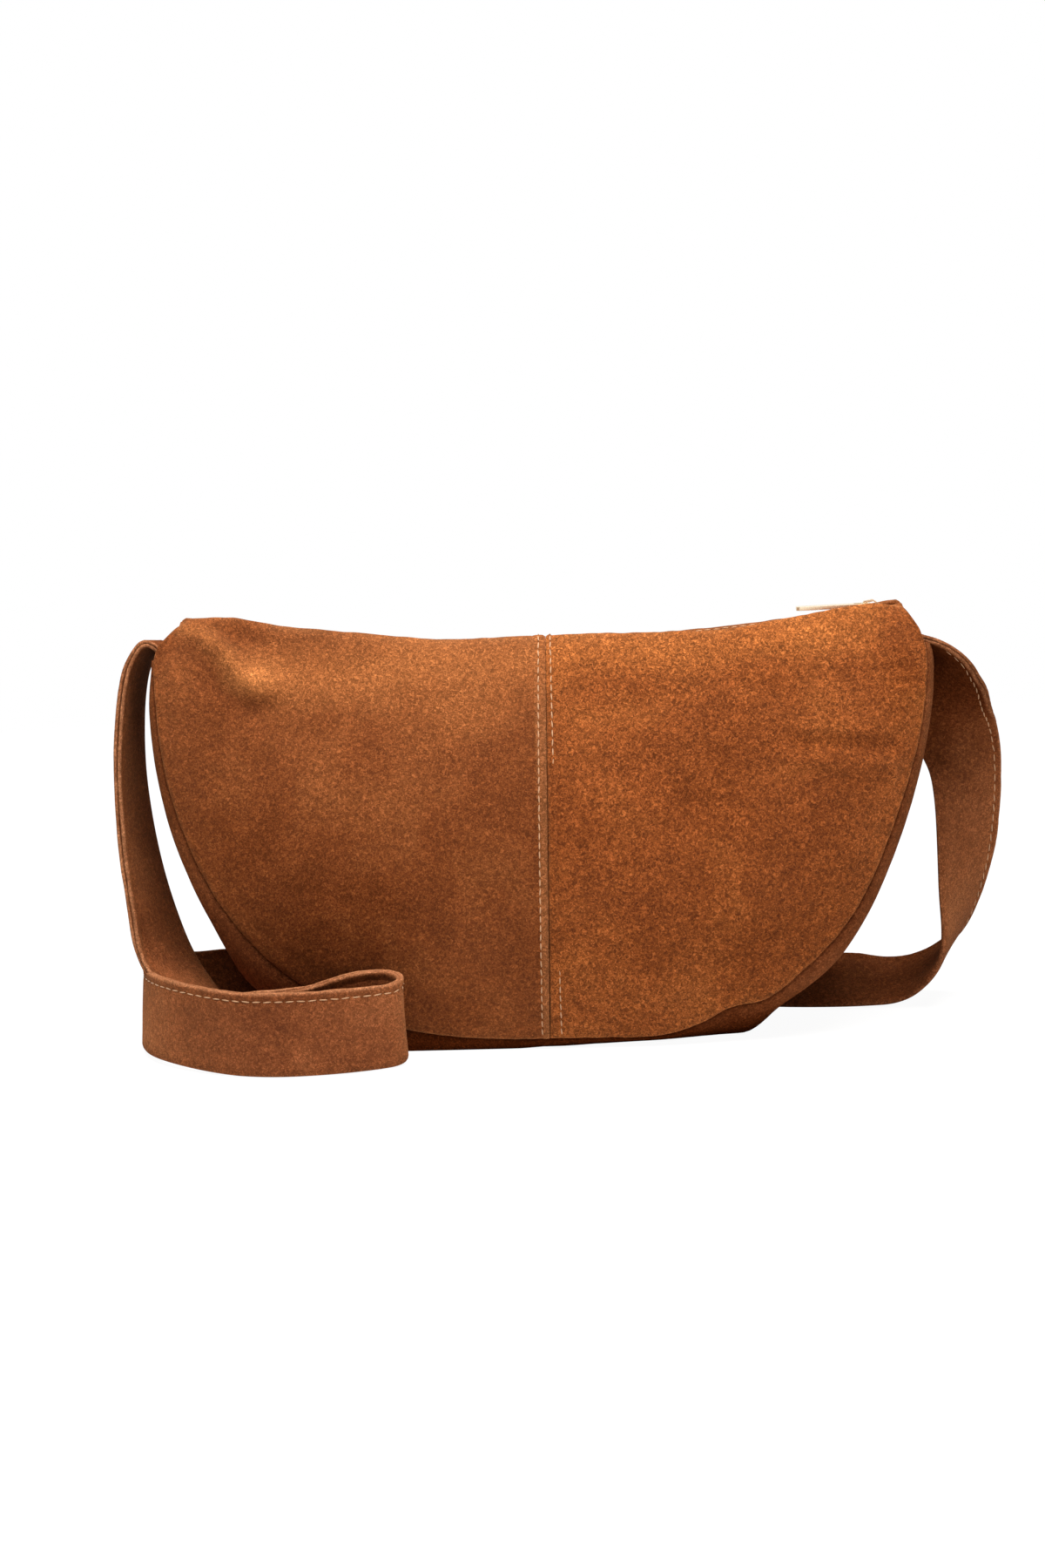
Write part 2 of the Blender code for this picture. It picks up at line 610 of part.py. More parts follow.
def make_teeth(name, facing, place_share, finish, collection):
    """Row of teeth on the corded bead of its tape, bent along the zip and parted at the slider's post."""
    middle = place_share * TOOTH_PITCH
    outline = [
        (0, facing * BEAD_OUTER), (TOOTH_PITCH, facing * BEAD_OUTER), (TOOTH_PITCH, facing * BEAD_INNER),
        (middle + TOOTH_ROOT / 2, facing * BEAD_INNER), (middle + TOOTH_TIP / 2, -facing * TOOTH_REACH),
        (middle - TOOTH_TIP / 2, -facing * TOOTH_REACH), (middle - TOOTH_ROOT / 2, facing * BEAD_INNER),
        (0, facing * BEAD_INNER),
    ]
    unit = flat_mesh(name, [outline], TOOTH_HALF_HEIGHT)
    bm = bmesh.new()
    bm.from_mesh(unit)
    at_start = [face for face in bm.faces if max(corner.co.x for corner in face.verts) < MERGE_REACH]
    at_end = [face for face in bm.faces if min(corner.co.x for corner in face.verts) > TOOTH_PITCH - MERGE_REACH]
    bmesh.ops.delete(bm, geom=at_start + at_end, context="FACES_ONLY")
    bm.to_mesh(unit)
    bm.free()
    part = add_part(name, unit, finish, collection)
    row = part.modifiers.new("row", "ARRAY")
    row.count = TOOTH_COUNT
    row.use_relative_offset = False
    row.use_constant_offset = True
    row.constant_offset_displace = (TOOTH_PITCH, 0, 0)
    row.use_merge_vertices = True
    row.merge_threshold = MERGE_REACH
    mesh = baked_mesh(part)
    bm = bmesh.new()
    bm.from_mesh(mesh)
    bmesh.ops.holes_fill(bm, edges=bm.edges)
    for vertex in bm.verts:
        along = vertex.co.x + CHAIN_LEFT
        vertex.co = on_zip(along, vertex.co.y + facing * row_spread(along), vertex.co.z)
    bmesh.ops.recalc_face_normals(bm, faces=bm.faces)
    bm.to_mesh(mesh)
    bm.free()
    mesh.shade_smooth()
    mesh.set_sharp_from_angle(angle=SHARP_TURN)
    return part


def make_box(name, low, high, bevel, finish, collection):
    """Box between two corners, given along, across and above the zip, with rounded edges."""
    bm = bmesh.new()
    bmesh.ops.create_cube(bm, size=1)
    middle = (low + high) / 2
    size = high - low
    for vertex in bm.verts:
        along, across, above = (middle[i] + vertex.co[i] * size[i] for i in range(3))
        vertex.co = on_zip(along, across, above)
    bmesh.ops.recalc_face_normals(bm, faces=bm.faces)
    mesh = bpy.data.meshes.new(name)
    bm.to_mesh(mesh)
    bm.free()
    part = add_part(name, mesh, finish, collection)
    rounding = part.modifiers.new("rounding", "BEVEL")
    rounding.width = bevel
    rounding.segments = 2
    return part


def make_stops(finish, collection):
    """Metal stops clamped on the tapes' edges: one for each row at the closed end, one across both at the other."""
    half_height = TOOTH_HALF_HEIGHT + STOP_OVERHANG
    start = CHAIN_RIGHT + ZIP_GAP
    for name, facing in (("zip_top_stop_front", -1), ("zip_top_stop_back", 1)):
        inner = facing * (ROW_SPREAD + BEAD_INNER - STOP_OVERHANG)
        outer = facing * (ROW_SPREAD + BEAD_OUTER)
        low = Vector((start, min(inner, outer), -half_height))
        high = Vector((start + STOP_LENGTH, max(inner, outer), half_height))
        make_box(name, low, high, STOP_BEVEL, finish, collection)
    end = CHAIN_LEFT - ZIP_GAP
    low = Vector((end - STOP_LENGTH, -BEAD_OUTER, -half_height))
    high = Vector((end, BEAD_OUTER, half_height))
    make_box("zip_bottom_stop", low, high, STOP_BEVEL, finish, collection)


def slider_outline(tail, mouth, overrun=0.0):
    """Plan of the slider: narrow at the tail, where the closed rows leave, and wide at the mouth."""
    half = SLIDER_LENGTH / 2
    places = ((-half - overrun, tail), (half * SLIDER_MERGE_SHARE, tail),
              (half * SLIDER_SHOULDER_SHARE, mouth), (half + overrun, mouth))
    return [(x, -y) for x, y in places] + [(x, y) for x, y in reversed(places)]


def shape_with(body, tools, operation):
    """Join other meshes to a body, or cut them out of it, and make the result the body's own mesh."""
    for tool in tools:
        change = body.modifiers.new(tool.name, "BOOLEAN")
        change.operation = operation
        change.object = tool
        change.solver = "EXACT"
    baked_mesh(body)
    for tool in tools:
        bpy.data.objects.remove(tool, do_unlink=True)


def add_tool(name, mesh, collection, shift=Vector((0, 0, 0))):
    mesh.transform(Matrix.Translation(shift))
    tool = bpy.data.objects.new(name, mesh)
    collection.objects.link(tool)
    tool.hide_render = True
    tool.display_type = "WIRE"
    return tool


def bridge_mesh():
    """Arch over the slider's top plate that holds the pull tab, its feet sunk in the plate."""
    half = BRIDGE_LENGTH / 2
    inner = BRIDGE_HEIGHT
    outer = BRIDGE_HEIGHT + BRIDGE_THICKNESS
    sink = -SLIDER_PLATE / 2
    corner = BRIDGE_THICKNESS
    hole = [(-half + corner, sink), (-half + corner, inner - corner), (-half + 2 * corner, inner),
            (half - 2 * corner, inner), (half - corner, inner - corner), (half - corner, sink)]
    shell = [(half, sink), (half, outer - 2 * corner), (half - 2 * corner, outer),
             (-half + 2 * corner, outer), (-half, outer - 2 * corner), (-half, sink)]
    mesh = flat_mesh("bridge", [hole + shell], BRIDGE_WIDTH / 2)
    mesh.transform(Matrix.Rotation(RIGHT_ANGLE, 4, "X"))
    return mesh


def make_slider(finish, collection, cutters):
    """Slider body: two plates joined by a post at the mouth, walls that hold the rows in, and a bridge."""
    tail = CHANNEL_TAIL + SLIDER_WALL
    mouth = CHANNEL_MOUTH + SLIDER_WALL
    body = add_part("zip_slider", flat_mesh("zip_slider", [slider_outline(tail, mouth)], SLIDER_HALF_HEIGHT),
                    finish, collection)
    rounding = body.modifiers.new("rounding", "BEVEL")
    rounding.width = SLIDER_BEVEL
    rounding.segments = 2
    bridge = add_tool("bridge", bridge_mesh(), cutters, UP * SLIDER_HALF_HEIGHT)
    shape_with(body, [bridge], "UNION")
    post_x = SLIDER_LENGTH / 2 * POST_PLACE_SHARE
    post = [(post_x - POST_LENGTH / 2, 0), (post_x, -POST_HALF_WIDTH),
            (post_x + POST_LENGTH / 2, 0), (post_x, POST_HALF_WIDTH)]
    channel_outline = slider_outline(CHANNEL_TAIL, CHANNEL_MOUTH, SLIDER_LENGTH)
    channel = add_tool("channel", flat_mesh("channel", [channel_outline, post], CHANNEL_HALF_HEIGHT), cutters)
    slot_outline = slider_outline(2 * tail, 2 * mouth, SLIDER_LENGTH)
    inside = slider_outline(CHANNEL_TAIL / 2, CHANNEL_MOUTH / 2, SLIDER_LENGTH / 2)
    slot = add_tool("tape_slot", flat_mesh("tape_slot", [slot_outline, inside], TAPE_SLOT_HALF_HEIGHT), cutters)
    shape_with(body, [channel, slot], "DIFFERENCE")
    body.data.materials.clear()
    body.data.materials.append(make_material("zip_slider", finish))
    body.data.transform(Matrix.Translation(UP * -ZIP_RADIUS))
    return body


def make_pull(finish, collection):
    """Flat pull tab with a window at one end, whose cross bar turns under the slider's bridge."""
    bar = BRIDGE_HEIGHT / 2 - SLIDER_CLEARANCE
    half = PULL_WIDTH / 2
    tip = PULL_TIP_WIDTH / 2
    neck = PULL_WINDOW_LENGTH + 2 * PULL_ARM
    corner = PULL_ARM
    outline = [
        (bar * 0.5 ** 0.5, -half + corner), (bar * 0.5 ** 0.5, half - corner), (-corner, half), (-neck, half),
        (-PULL_LENGTH + corner, tip), (-PULL_LENGTH, tip - corner),
        (-PULL_LENGTH, corner - tip), (-PULL_LENGTH + corner, -tip), (-neck, -half), (-corner, -half),
    ]
    window_half = half - PULL_ARM
    start = -bar * 0.5 ** 0.5
    window = [(start, -window_half), (start, window_half),
              (start - PULL_WINDOW_LENGTH, window_half), (start - PULL_WINDOW_LENGTH, -window_half)]
    mesh = flat_mesh("zip_pull", [outline, window], PULL_THICKNESS / 2)
    part = add_part("zip_pull", mesh, finish, collection)
    rounding = part.modifiers.new("rounding", "BEVEL")
    rounding.width = PULL_BEVEL
    rounding.segments = 2
    rounding.limit_method = "ANGLE"
    return part


def place_slider(slider, pull, collection):
    """Turn the slider about the middle of the zip's curve to the closed end, with the tab lying level."""
    axis = bpy.data.objects.new("zip_curve_centre", None)
    axis.location = (0, 0, ZIP_CENTRE_Z)
    collection.objects.link(axis)
    angle = SLIDER_PLACE / ZIP_RADIUS
    slider.parent = axis
    slider.rotation_euler = (0, -angle, 0)
    pull.parent = slider
    pull.location = (0, 0, PULL_PIVOT_HEIGHT - ZIP_RADIUS)
    pull.rotation_euler = (0, angle - PULL_SLOPE, 0)


def make_bag():
    clear_scene()
    parts = add_collection("half_moon_bag")
    cutters = add_collection("cutters")

    turns = even_turns(PANEL_END_TURN, PANEL_COLUMNS)
    left_turns = both_ways(turns)[:PANEL_COLUMNS + 1]
    half_gap = SEAM_GAP / 2
    make_panel("front_panel_left", left_turns, -1, -half_gap, SMOOTH_SUEDE, parts)
    make_panel("front_panel_right", turns, -1, half_gap, COARSE_SUEDE, parts)
    make_panel("back_panel", both_ways(turns), 1, 0, SMOOTH_SUEDE, parts)
    make_gusset(DARK_SUEDE, parts)
    make_strap(DARK_SUEDE, parts)

    make_tape("zip_tape_front", -1, TAPE_CLOTH, parts)
    make_tape("zip_tape_back", 1, TAPE_CLOTH, parts)
    make_teeth("zip_teeth_front", -1, 0.25, GOLD_METAL, parts)
    make_teeth("zip_teeth_back", 1, 0.75, GOLD_METAL, parts)
    make_stops(GOLD_METAL, parts)
    slider = make_slider(GOLD_METAL, parts, cutters)
    pull = make_pull(GOLD_METAL, parts)
    place_slider(slider, pull, parts)

    print("zip curve centre z", ZIP_CENTRE_Z)
    print("slider travel in degrees", math.degrees((SLIDER_PLACE - SLIDER_OPEN_PLACE) / ZIP_RADIUS))
    pivot = on_zip(SLIDER_PLACE, 0, PULL_PIVOT_HEIGHT)
    print("pull pivot", pivot.x, pivot.z)


make_bag()
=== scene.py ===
"""Half-moon suede shoulder bag with a zip top and a long folded strap.

Lengths are in metres: X along the zip, Y from front to back, Z up, from the middle of the flat base.
Each soft solid is replaced by a finer one of the same form, with its folds, rolled seams and stitches.
A fade is a start and a length along some line, and a negative length fades out. A hump is a place,
a width and a height.
"""

import bisect
import math

import bmesh
import bpy
from mathutils import Matrix, Vector, noise


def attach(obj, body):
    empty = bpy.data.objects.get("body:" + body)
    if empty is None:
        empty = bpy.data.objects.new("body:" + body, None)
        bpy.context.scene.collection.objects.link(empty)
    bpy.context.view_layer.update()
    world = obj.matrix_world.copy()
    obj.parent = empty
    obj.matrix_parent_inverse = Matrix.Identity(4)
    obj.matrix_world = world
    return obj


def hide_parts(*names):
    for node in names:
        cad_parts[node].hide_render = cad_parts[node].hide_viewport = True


RIGHT_ANGLE = math.pi / 2
UP = Vector((0, 0, 1))
BACK = Vector((0, 1, 0))

# Leather
SUEDE = 0.0015
SEAM_GAP = 0.0005
ALLOWANCE_LEAN = math.radians(40)
ALLOWANCE_SHOWN = 0.005
SEAM_ROLL = 0.0024
ROLL_ROWS = 5
ROLL_STEP = 0.002
ROLL_LAST_SHARE = 0.5

# Stitches: pitch and length, how high they lie, and how deep they sink where the nap is rubbed over them
PANEL_STITCHES = (0.0042, 0.0033)
STRAP_STITCHES = (0.0050, 0.0038)
STITCH_WANDER = 0.12
STITCH_SEED = 3
STITCH_SEGMENTS = 8
STITCH_RINGS = 6
THREAD_WIDTH = 0.00062
THREAD_HEIGHT = 0.00045
SEAM_STITCH_LIFT = 0.0002
SEAM_STITCH_SUNK = 0.0007
SEAM_SUNK_TOP_FADE = (0.150, -0.03)
SEAM_SUNK_FOOT_FADE = (0.028, 0.02)
HEM_STITCH_LIFT = 0.0001
HEM_STITCHES = (0.006, 0.158)
STRAP_STITCH_LIFT = 0.0003
STRAP_STITCH_SUNK = 0.0008

# Half-moon outline of the panels
PANEL_HALF_LENGTH = 0.178
PANEL_WIDEST_Z = 0.165
BASE_SEAM_Z = 0.004
PANEL_SIDE_POWER = 2.7
PANEL_CORNER_LENGTH = 0.015
PANEL_CORNER_HEIGHT = 0.034
PANEL_CORNER_TURN = math.radians(42)
PANEL_END_TURN = RIGHT_ANGLE + PANEL_CORNER_TURN
SEAM_STEPS = 2000

# Fullness of the panels
BELLY_DEPTH = 0.024
BELLY_HEIGHT_SHARE = 0.36
BELLY_LEAN_SHARE = 0.3
SHOULDER_DEPTH = 0.017
SHOULDER_LEAN_SHARE = 0.85
RIDGE_HALF_GAP = 0.014
RIDGE_LEAN_SHARE = 0.95
FRONT_RIDGE_RISE = 0.0058
BACK_RIDGE_RISE = 0.0012
RIDGE_SINK_SHARE = 0.18
RIDGE_TAPER_POWER = 14
LIP_FULL_SHARE = 0.57
LIP_FLAT_SHARE = 0.68

# Fineness of the panels, in columns from the middle seam and rows from the allowance to the zip
PANEL_COLUMNS = 84
MIDDLE_COLUMNS = (0.0001, 0.0005, 0.001, 0.0014, 0.0019, 0.0025, 0.0031, 0.0037, 0.0041, 0.0045, 0.0049,
                  0.0054, 0.0060, 0.0068, 0.0078, 0.0090, 0.0105)
BODY_ROWS = 84
LIP_ROWS = 14
STITCH_COLUMN = 9
FIRST_STITCH_ROW = 7
ROWS_ABOVE_STITCHES = 2
ROWS_ABOVE_HEM = 6

# Unevenness of the soft walls: seed and height of the coarse part, and height of the fine one
SOFT_SCALES = (17, 45, 130)
SOFT_LARGE_SHARE = 0.65
FRONT_UNEVEN = (3.1, 0.0011)
BACK_UNEVEN = (8.4, 0.0013)
PANEL_UNEVEN_FINE = 0.00022
PANEL_EDGE_FADE = (5, 6)
PANEL_END_FADE = (1, -0.04)
MIDDLE_ZONE = 0.02
EDGE_RELIEF_SHARE = 0.25
PUCKER = 0.00035
PUCKER_SCALE = 160
SEAM_SWELL = (6, 2.5, 0.0005)

# Lines that stray from their plain form: humps along X
RIDGE_HUMPS = (
    (-0.140, 0.016, 0.0026), (-0.167, 0.009, -0.0018), (-0.046, 0.024, -0.0021),
    (0.080, 0.036, -0.0026), (0.168, 0.014, -0.0018),
)
SEAM_HUMPS = ((0.052, 0.022, -0.0026), (0.083, 0.009, 0.0022), (0.102, 0.012, -0.0022))
CROWN_HUMPS = ((0.157, 0.012, 0.0030), (0.084, 0.020, -0.0048), (-0.141, 0.014, -0.0080))
CORNER_SWELL = 0.0034
CORNER_SWELL_TURN = math.radians(-127)
CORNER_SWELL_REACH = math.radians(24)

# The right side drawn in
TUCK = 0.0060
TUCK_Z = 0.098
TUCK_REACH_ABOVE = 0.060
SEAM_TUCK_BELOW = 0.045
CROWN_TUCK_BELOW = 0.065
TUCK_TOP_FADE = (0.183, -0.02)
TUCK_SIDE_FADE = (0.09, 0.05)

# The middle seam: its lean, its raised band, its groove and the grooves of its stitches
MIDDLE_FOOT_LEAN = -0.0010
MIDDLE_TOP_LEAN = 0.0017
MIDDLE_TOP_Z = 0.19
MIDDLE_LEAN_FADE = (0.0050, -0.0040)
MIDDLE_BAND = 0.0005
MIDDLE_BAND_FADE = (0.0065, -0.003)
MIDDLE_GROOVES = ((0, 0.0009, -0.0009), (0.0045, 0.0007, -0.00035))

# Pale wear of the panels, along rows, with a painted highlight over the ridge where it faces the light
WEAR_LEAST = 0.6
WEAR_RAGGED = 0.8
WEAR_SCALE = 70
SEAM_WEAR = (3.5, 2.2, 0.22)
RIDGE_WEAR_AND_HIGHLIGHT = (0, 8, 0.42)
MIDDLE_WEAR = 0.34
MIDDLE_WEAR_SIDE_FADE = (-0.0044, 0.0010)
MIDDLE_WEAR_TOP_FADE = (0.195, -0.05)

# Panel ends folded in over the strap
END_FOLD_SHARES = (0.04, 0.12, 0.25, 0.45, 0.7, 1.0)
END_FOLD_BULGE = 0.0012
END_FOLD_ROUND = 1.6
END_FOLD_TUCK = 0.0008
END_FOLD_DROP = 0.0008

# Gusset
# Outline of its crown: half length, height where it is widest, drop, side power, corner length and height
CROWN_OUTLINE = (0.182, 0.160, 0.166, 2.9, 0.019, 0.042)
BASE_HALF_DEPTH = 0.038
GUSSET_FLAT_SHARE = 0.7
FOOT_ROUND = 0.012
GUSSET_COLUMNS = 96
GUSSET_ROWS = 30
GUSSET_EDGE_FADE = (3, 6)
GUSSET_UNEVEN = (5.7, 0.0010)
GUSSET_UNEVEN_FINE = 0.0002
GUSSET_SINK = 0.0004
GUSSET_STANDING_FADE = (0, 0.012)
# Painted shade of the gusset: strongest at its foot by the floor, less up its sides
GUSSET_FOOT_PAINTED_SHADE = 0.92
GUSSET_SIDE_PAINTED_SHADE = 0.30
GUSSET_PAINTED_SHADE_FADE = (0, 0.03)
# Flat share of its front low down, which hangs steep on the left and slopes back on the right
LOW_LEFT_FLAT = 0.96
LOW_RIGHT_FLAT = 0.40
LOW_TURN_FADE = (-0.03, 0.12)
LOW_SIDE_FADE = (0.14, -0.05)
LOW_TOP_FADE = (0.05, -0.04)

# Strap
STRAP_WIDTH = 0.039
STRAP_THICKNESS = 0.0034
STRAP_SIDE_ROOM = 0.002
STRAP_ROOT_DEPTH = 0.002
STRAP_ROOT_RISE = 0.003
STRAP_REACH = 0.200
STRAP_SPREAD = 0.100
STRAP_RISE = 0.200
STRAP_LEAN = Vector((0, 0.98, -0.20))
STRAP_LEFT_LIFT = 0.0040
STRAP_RIGHT_DROP = 0.0065
STRAP_STEPS = 7
STRAP_MIDDLE_PASSES = 14
STRAP_SIDE_PASSES = (50, 30)
STRAP_END_FADE = (0.012, 0.02)
STRAP_SWAY = 0.0005
# Noise along and across the strap: scale of each, and a seed
SWAY_NOISE = (26, 40, 1.7)
WEAR_NOISE = (160, 400, 3.3)
FLOOR_ROOM = 0.0003
GUSSET_END_HALF_DEPTH = STRAP_WIDTH / 2 + STRAP_SIDE_ROOM
STRAP_SLOT = STRAP_THICKNESS + 2 * SEAM_GAP
GUSSET_END_TURN = PANEL_END_TURN - 2 * STRAP_SLOT / (PANEL_CORNER_LENGTH + PANEL_CORNER_HEIGHT)

# Outline across the strap: its raw edges, its stitch lines and the slit between its two layers
FRAY_SEEDS = (2.3, 7.9)
FRAY = 0.00045
FRAY_SCALE = 90
FINE_FRAY = 0.0002
FINE_FRAY_SCALE = 420
RAW_INSETS = (0.0003, 0.0005)
RAW_ROUND = ((0, 0.72), (0.0006, 0.96))
LAYERS_APART = 0.00035
LAYERS_SWAY = 0.0003
LAYERS_SWAY_SCALE = 40
LAYERS_SWAY_SEED = 4.4
LAYERS_FADE_LENGTH = -0.003
STRAP_STITCH_INSET = 0.0042
STRAP_STITCH_GROOVE = (0, 0.0007, 0.00042)
PLACES_BY_STITCH = (-0.0024, -0.0010, 0, 0.0010, 0.0028)
STITCH_PLACE = 4
FLAT_PLACES = 8
FLAT_FROM_STITCH = 0.0055
FLAT_TO_FOLD = 0.0045
FOLD_ROUND = ((0.0022, 0.97), (0.0010, 0.74), (0.0002, 0.36))
STRAP_SLIT = 0.00012
STRAP_SLIT_DEPTH = 0.006
STRAP_SLIT_MOUTH = 0.0012
SLIT_PLACES = 6

# Pale wear of the strap's edges, and painted shade that dims it where the raw edges are hidden in shade at the
# right
STRAP_WEAR_LEAST = 0.75
STRAP_WEAR_RAGGED = 0.5
RAW_WEAR = 0.85
RAW_WEAR_FADE = (0.0016, -0.0012)
FOLD_WEAR = 0.25
FOLD_WEAR_FADE = (-0.0014, 0.0012)
RAW_PAINTED_SHADE = 0.45
RAW_PAINTED_SHADE_FADE = (54, 3)
# Rows of its route where painted shade darkens its outer (1) and inner (-1) side, where it lies in shade: fade
# and share
STRAP_PAINTED_SHADE = {
    1: (((9, -3), 0.28), ((49, 2), 0.06), ((52, 6.3), 0.66)),
    -1: (((16, -2), 0.36), ((27, 2), 0.37)),
}
# Runs of rows where its stitches are sunk, on the same sides
STRAP_SUNK = {1: ((-9, 9),), -1: ((8, 17), (26, 52))}
STRAP_SUNK_ROWS = 2

# Zip
ZIP_MIDDLE_Z = 0.182
ZIP_SAG = 0.0125
ZIP_SAG_HALF_CHORD = 0.150
ZIP_RADIUS = (ZIP_SAG_HALF_CHORD ** 2 + ZIP_SAG ** 2) / (2 * ZIP_SAG)
ZIP_CENTRE_Z = ZIP_MIDDLE_Z + ZIP_RADIUS
HEM_HEIGHT = 0.00235
HEM_HALF_GAP = 0.00616
ZIP_EDGE_HALF = 0.1665
TAPE_THICKNESS = 0.0007
TAPE_HALF_GAP = 0.00008
TAPE_STEPS = 8
# Tails of the tapes past the stops: both ends along X and half the gap between the tapes there
TAPE_TAILS = {"left": (-0.1670, -0.1484, 0.0033), "right": (0.1602, 0.1670, 0.0047)}

# Suedes: name, dark, middle and light shade, fineness and strength of the nap, its depth and sheen
SUEDES = (
    ("smooth_suede", (0.138, 0.036, 0.0090), (0.180, 0.048, 0.0122), (0.236, 0.070, 0.0190),
     760, 0.46, 0.0009, 0.35),
    ("coarse_suede", (0.168, 0.041, 0.0088), (0.216, 0.0545, 0.0116), (0.276, 0.077, 0.0170),
     680, 0.60, 0.0012, 0.35),
    ("dark_suede", (0.150, 0.041, 0.0125), (0.196, 0.056, 0.0175), (0.250, 0.078, 0.026),
     760, 0.42, 0.0008, 0.28),
)
# Noise patterns: scale, or none where the nap gives it, detail, roughness and distortion
CLOUDS = (22, 5, 0.6, 0.5)
MOTTLE = (130, 4, 0.65, 0.4)
TUFTS = (2, 0.7, 1.2)
FIBRES = (2, 0.75, 1.5)
THREAD_TWIST = (2600, 2, 0.6, 1.0)
METAL_STREAKS = (900, 4, 0.6, 0.5)
FIBRE_FINENESS = 2.6
FIBRE_SHARE = 0.38
MOTTLE_LEVELS = ((0.32, 0.88), (0.68, 1.12))
MOTTLE_RELIEF_SHARE = 0.5
# Colours of painted shade, of painted highlight, and of pale wear with painted highlight, as shares of the
# dark or the light shade
PAINTED_SHADE_TINT = (0.35, 0.22, 0.12)
PAINTED_HIGHLIGHT_TINT = (2.15, 2.45, 2.5)
WEAR_AND_HIGHLIGHT_TINT = (1.5, 1.95, 2.6)
TIP_TINT = (2.6, 3.0, 3.3)
NAP_SPECULAR = 0.08
SHEEN_TINT = (1.0, 0.45, 0.17, 1)

# Photograph
CAMERA_RISE = math.radians(9.5)
CAMERA_ROLL = math.radians(1.5)
CAMERA_DISTANCE = 1.25
CAMERA_TARGET = Vector((0, -0.026, 0.10))
CAMERA_FAR = 100
SENSOR = 36.0
IMAGE_SIZE = (1200, 1800)
PIXELS_PER_METRE = 2486.0
TARGET_PIXEL = (628.0, 955.0)

# Studio. Lights: name, place, target, size and power
LIGHTS = (
    ("top_light", (0.0, -0.42, 1.55), (0, -0.02, 0.12), (1.3, 0.7), 52),
    ("front_light", (0.5, -2.2, 0.8), (0, 0, 0.1), (1.4, 1.4), 4),
)
WORLD_LIGHT = 0.20
WHITE = (1, 1, 1, 1)
FLOOR_REACH = 1.3
FLOOR_Z = -0.0002
FLOOR_SIDES = 64
FLOOR_SHADE = (0.66, 0.65, 0.64, 1)
FLOOR_SHADOW_SHADE = (0.095, 0.090, 0.086, 1)
FLOOR_GLOW = 0.947

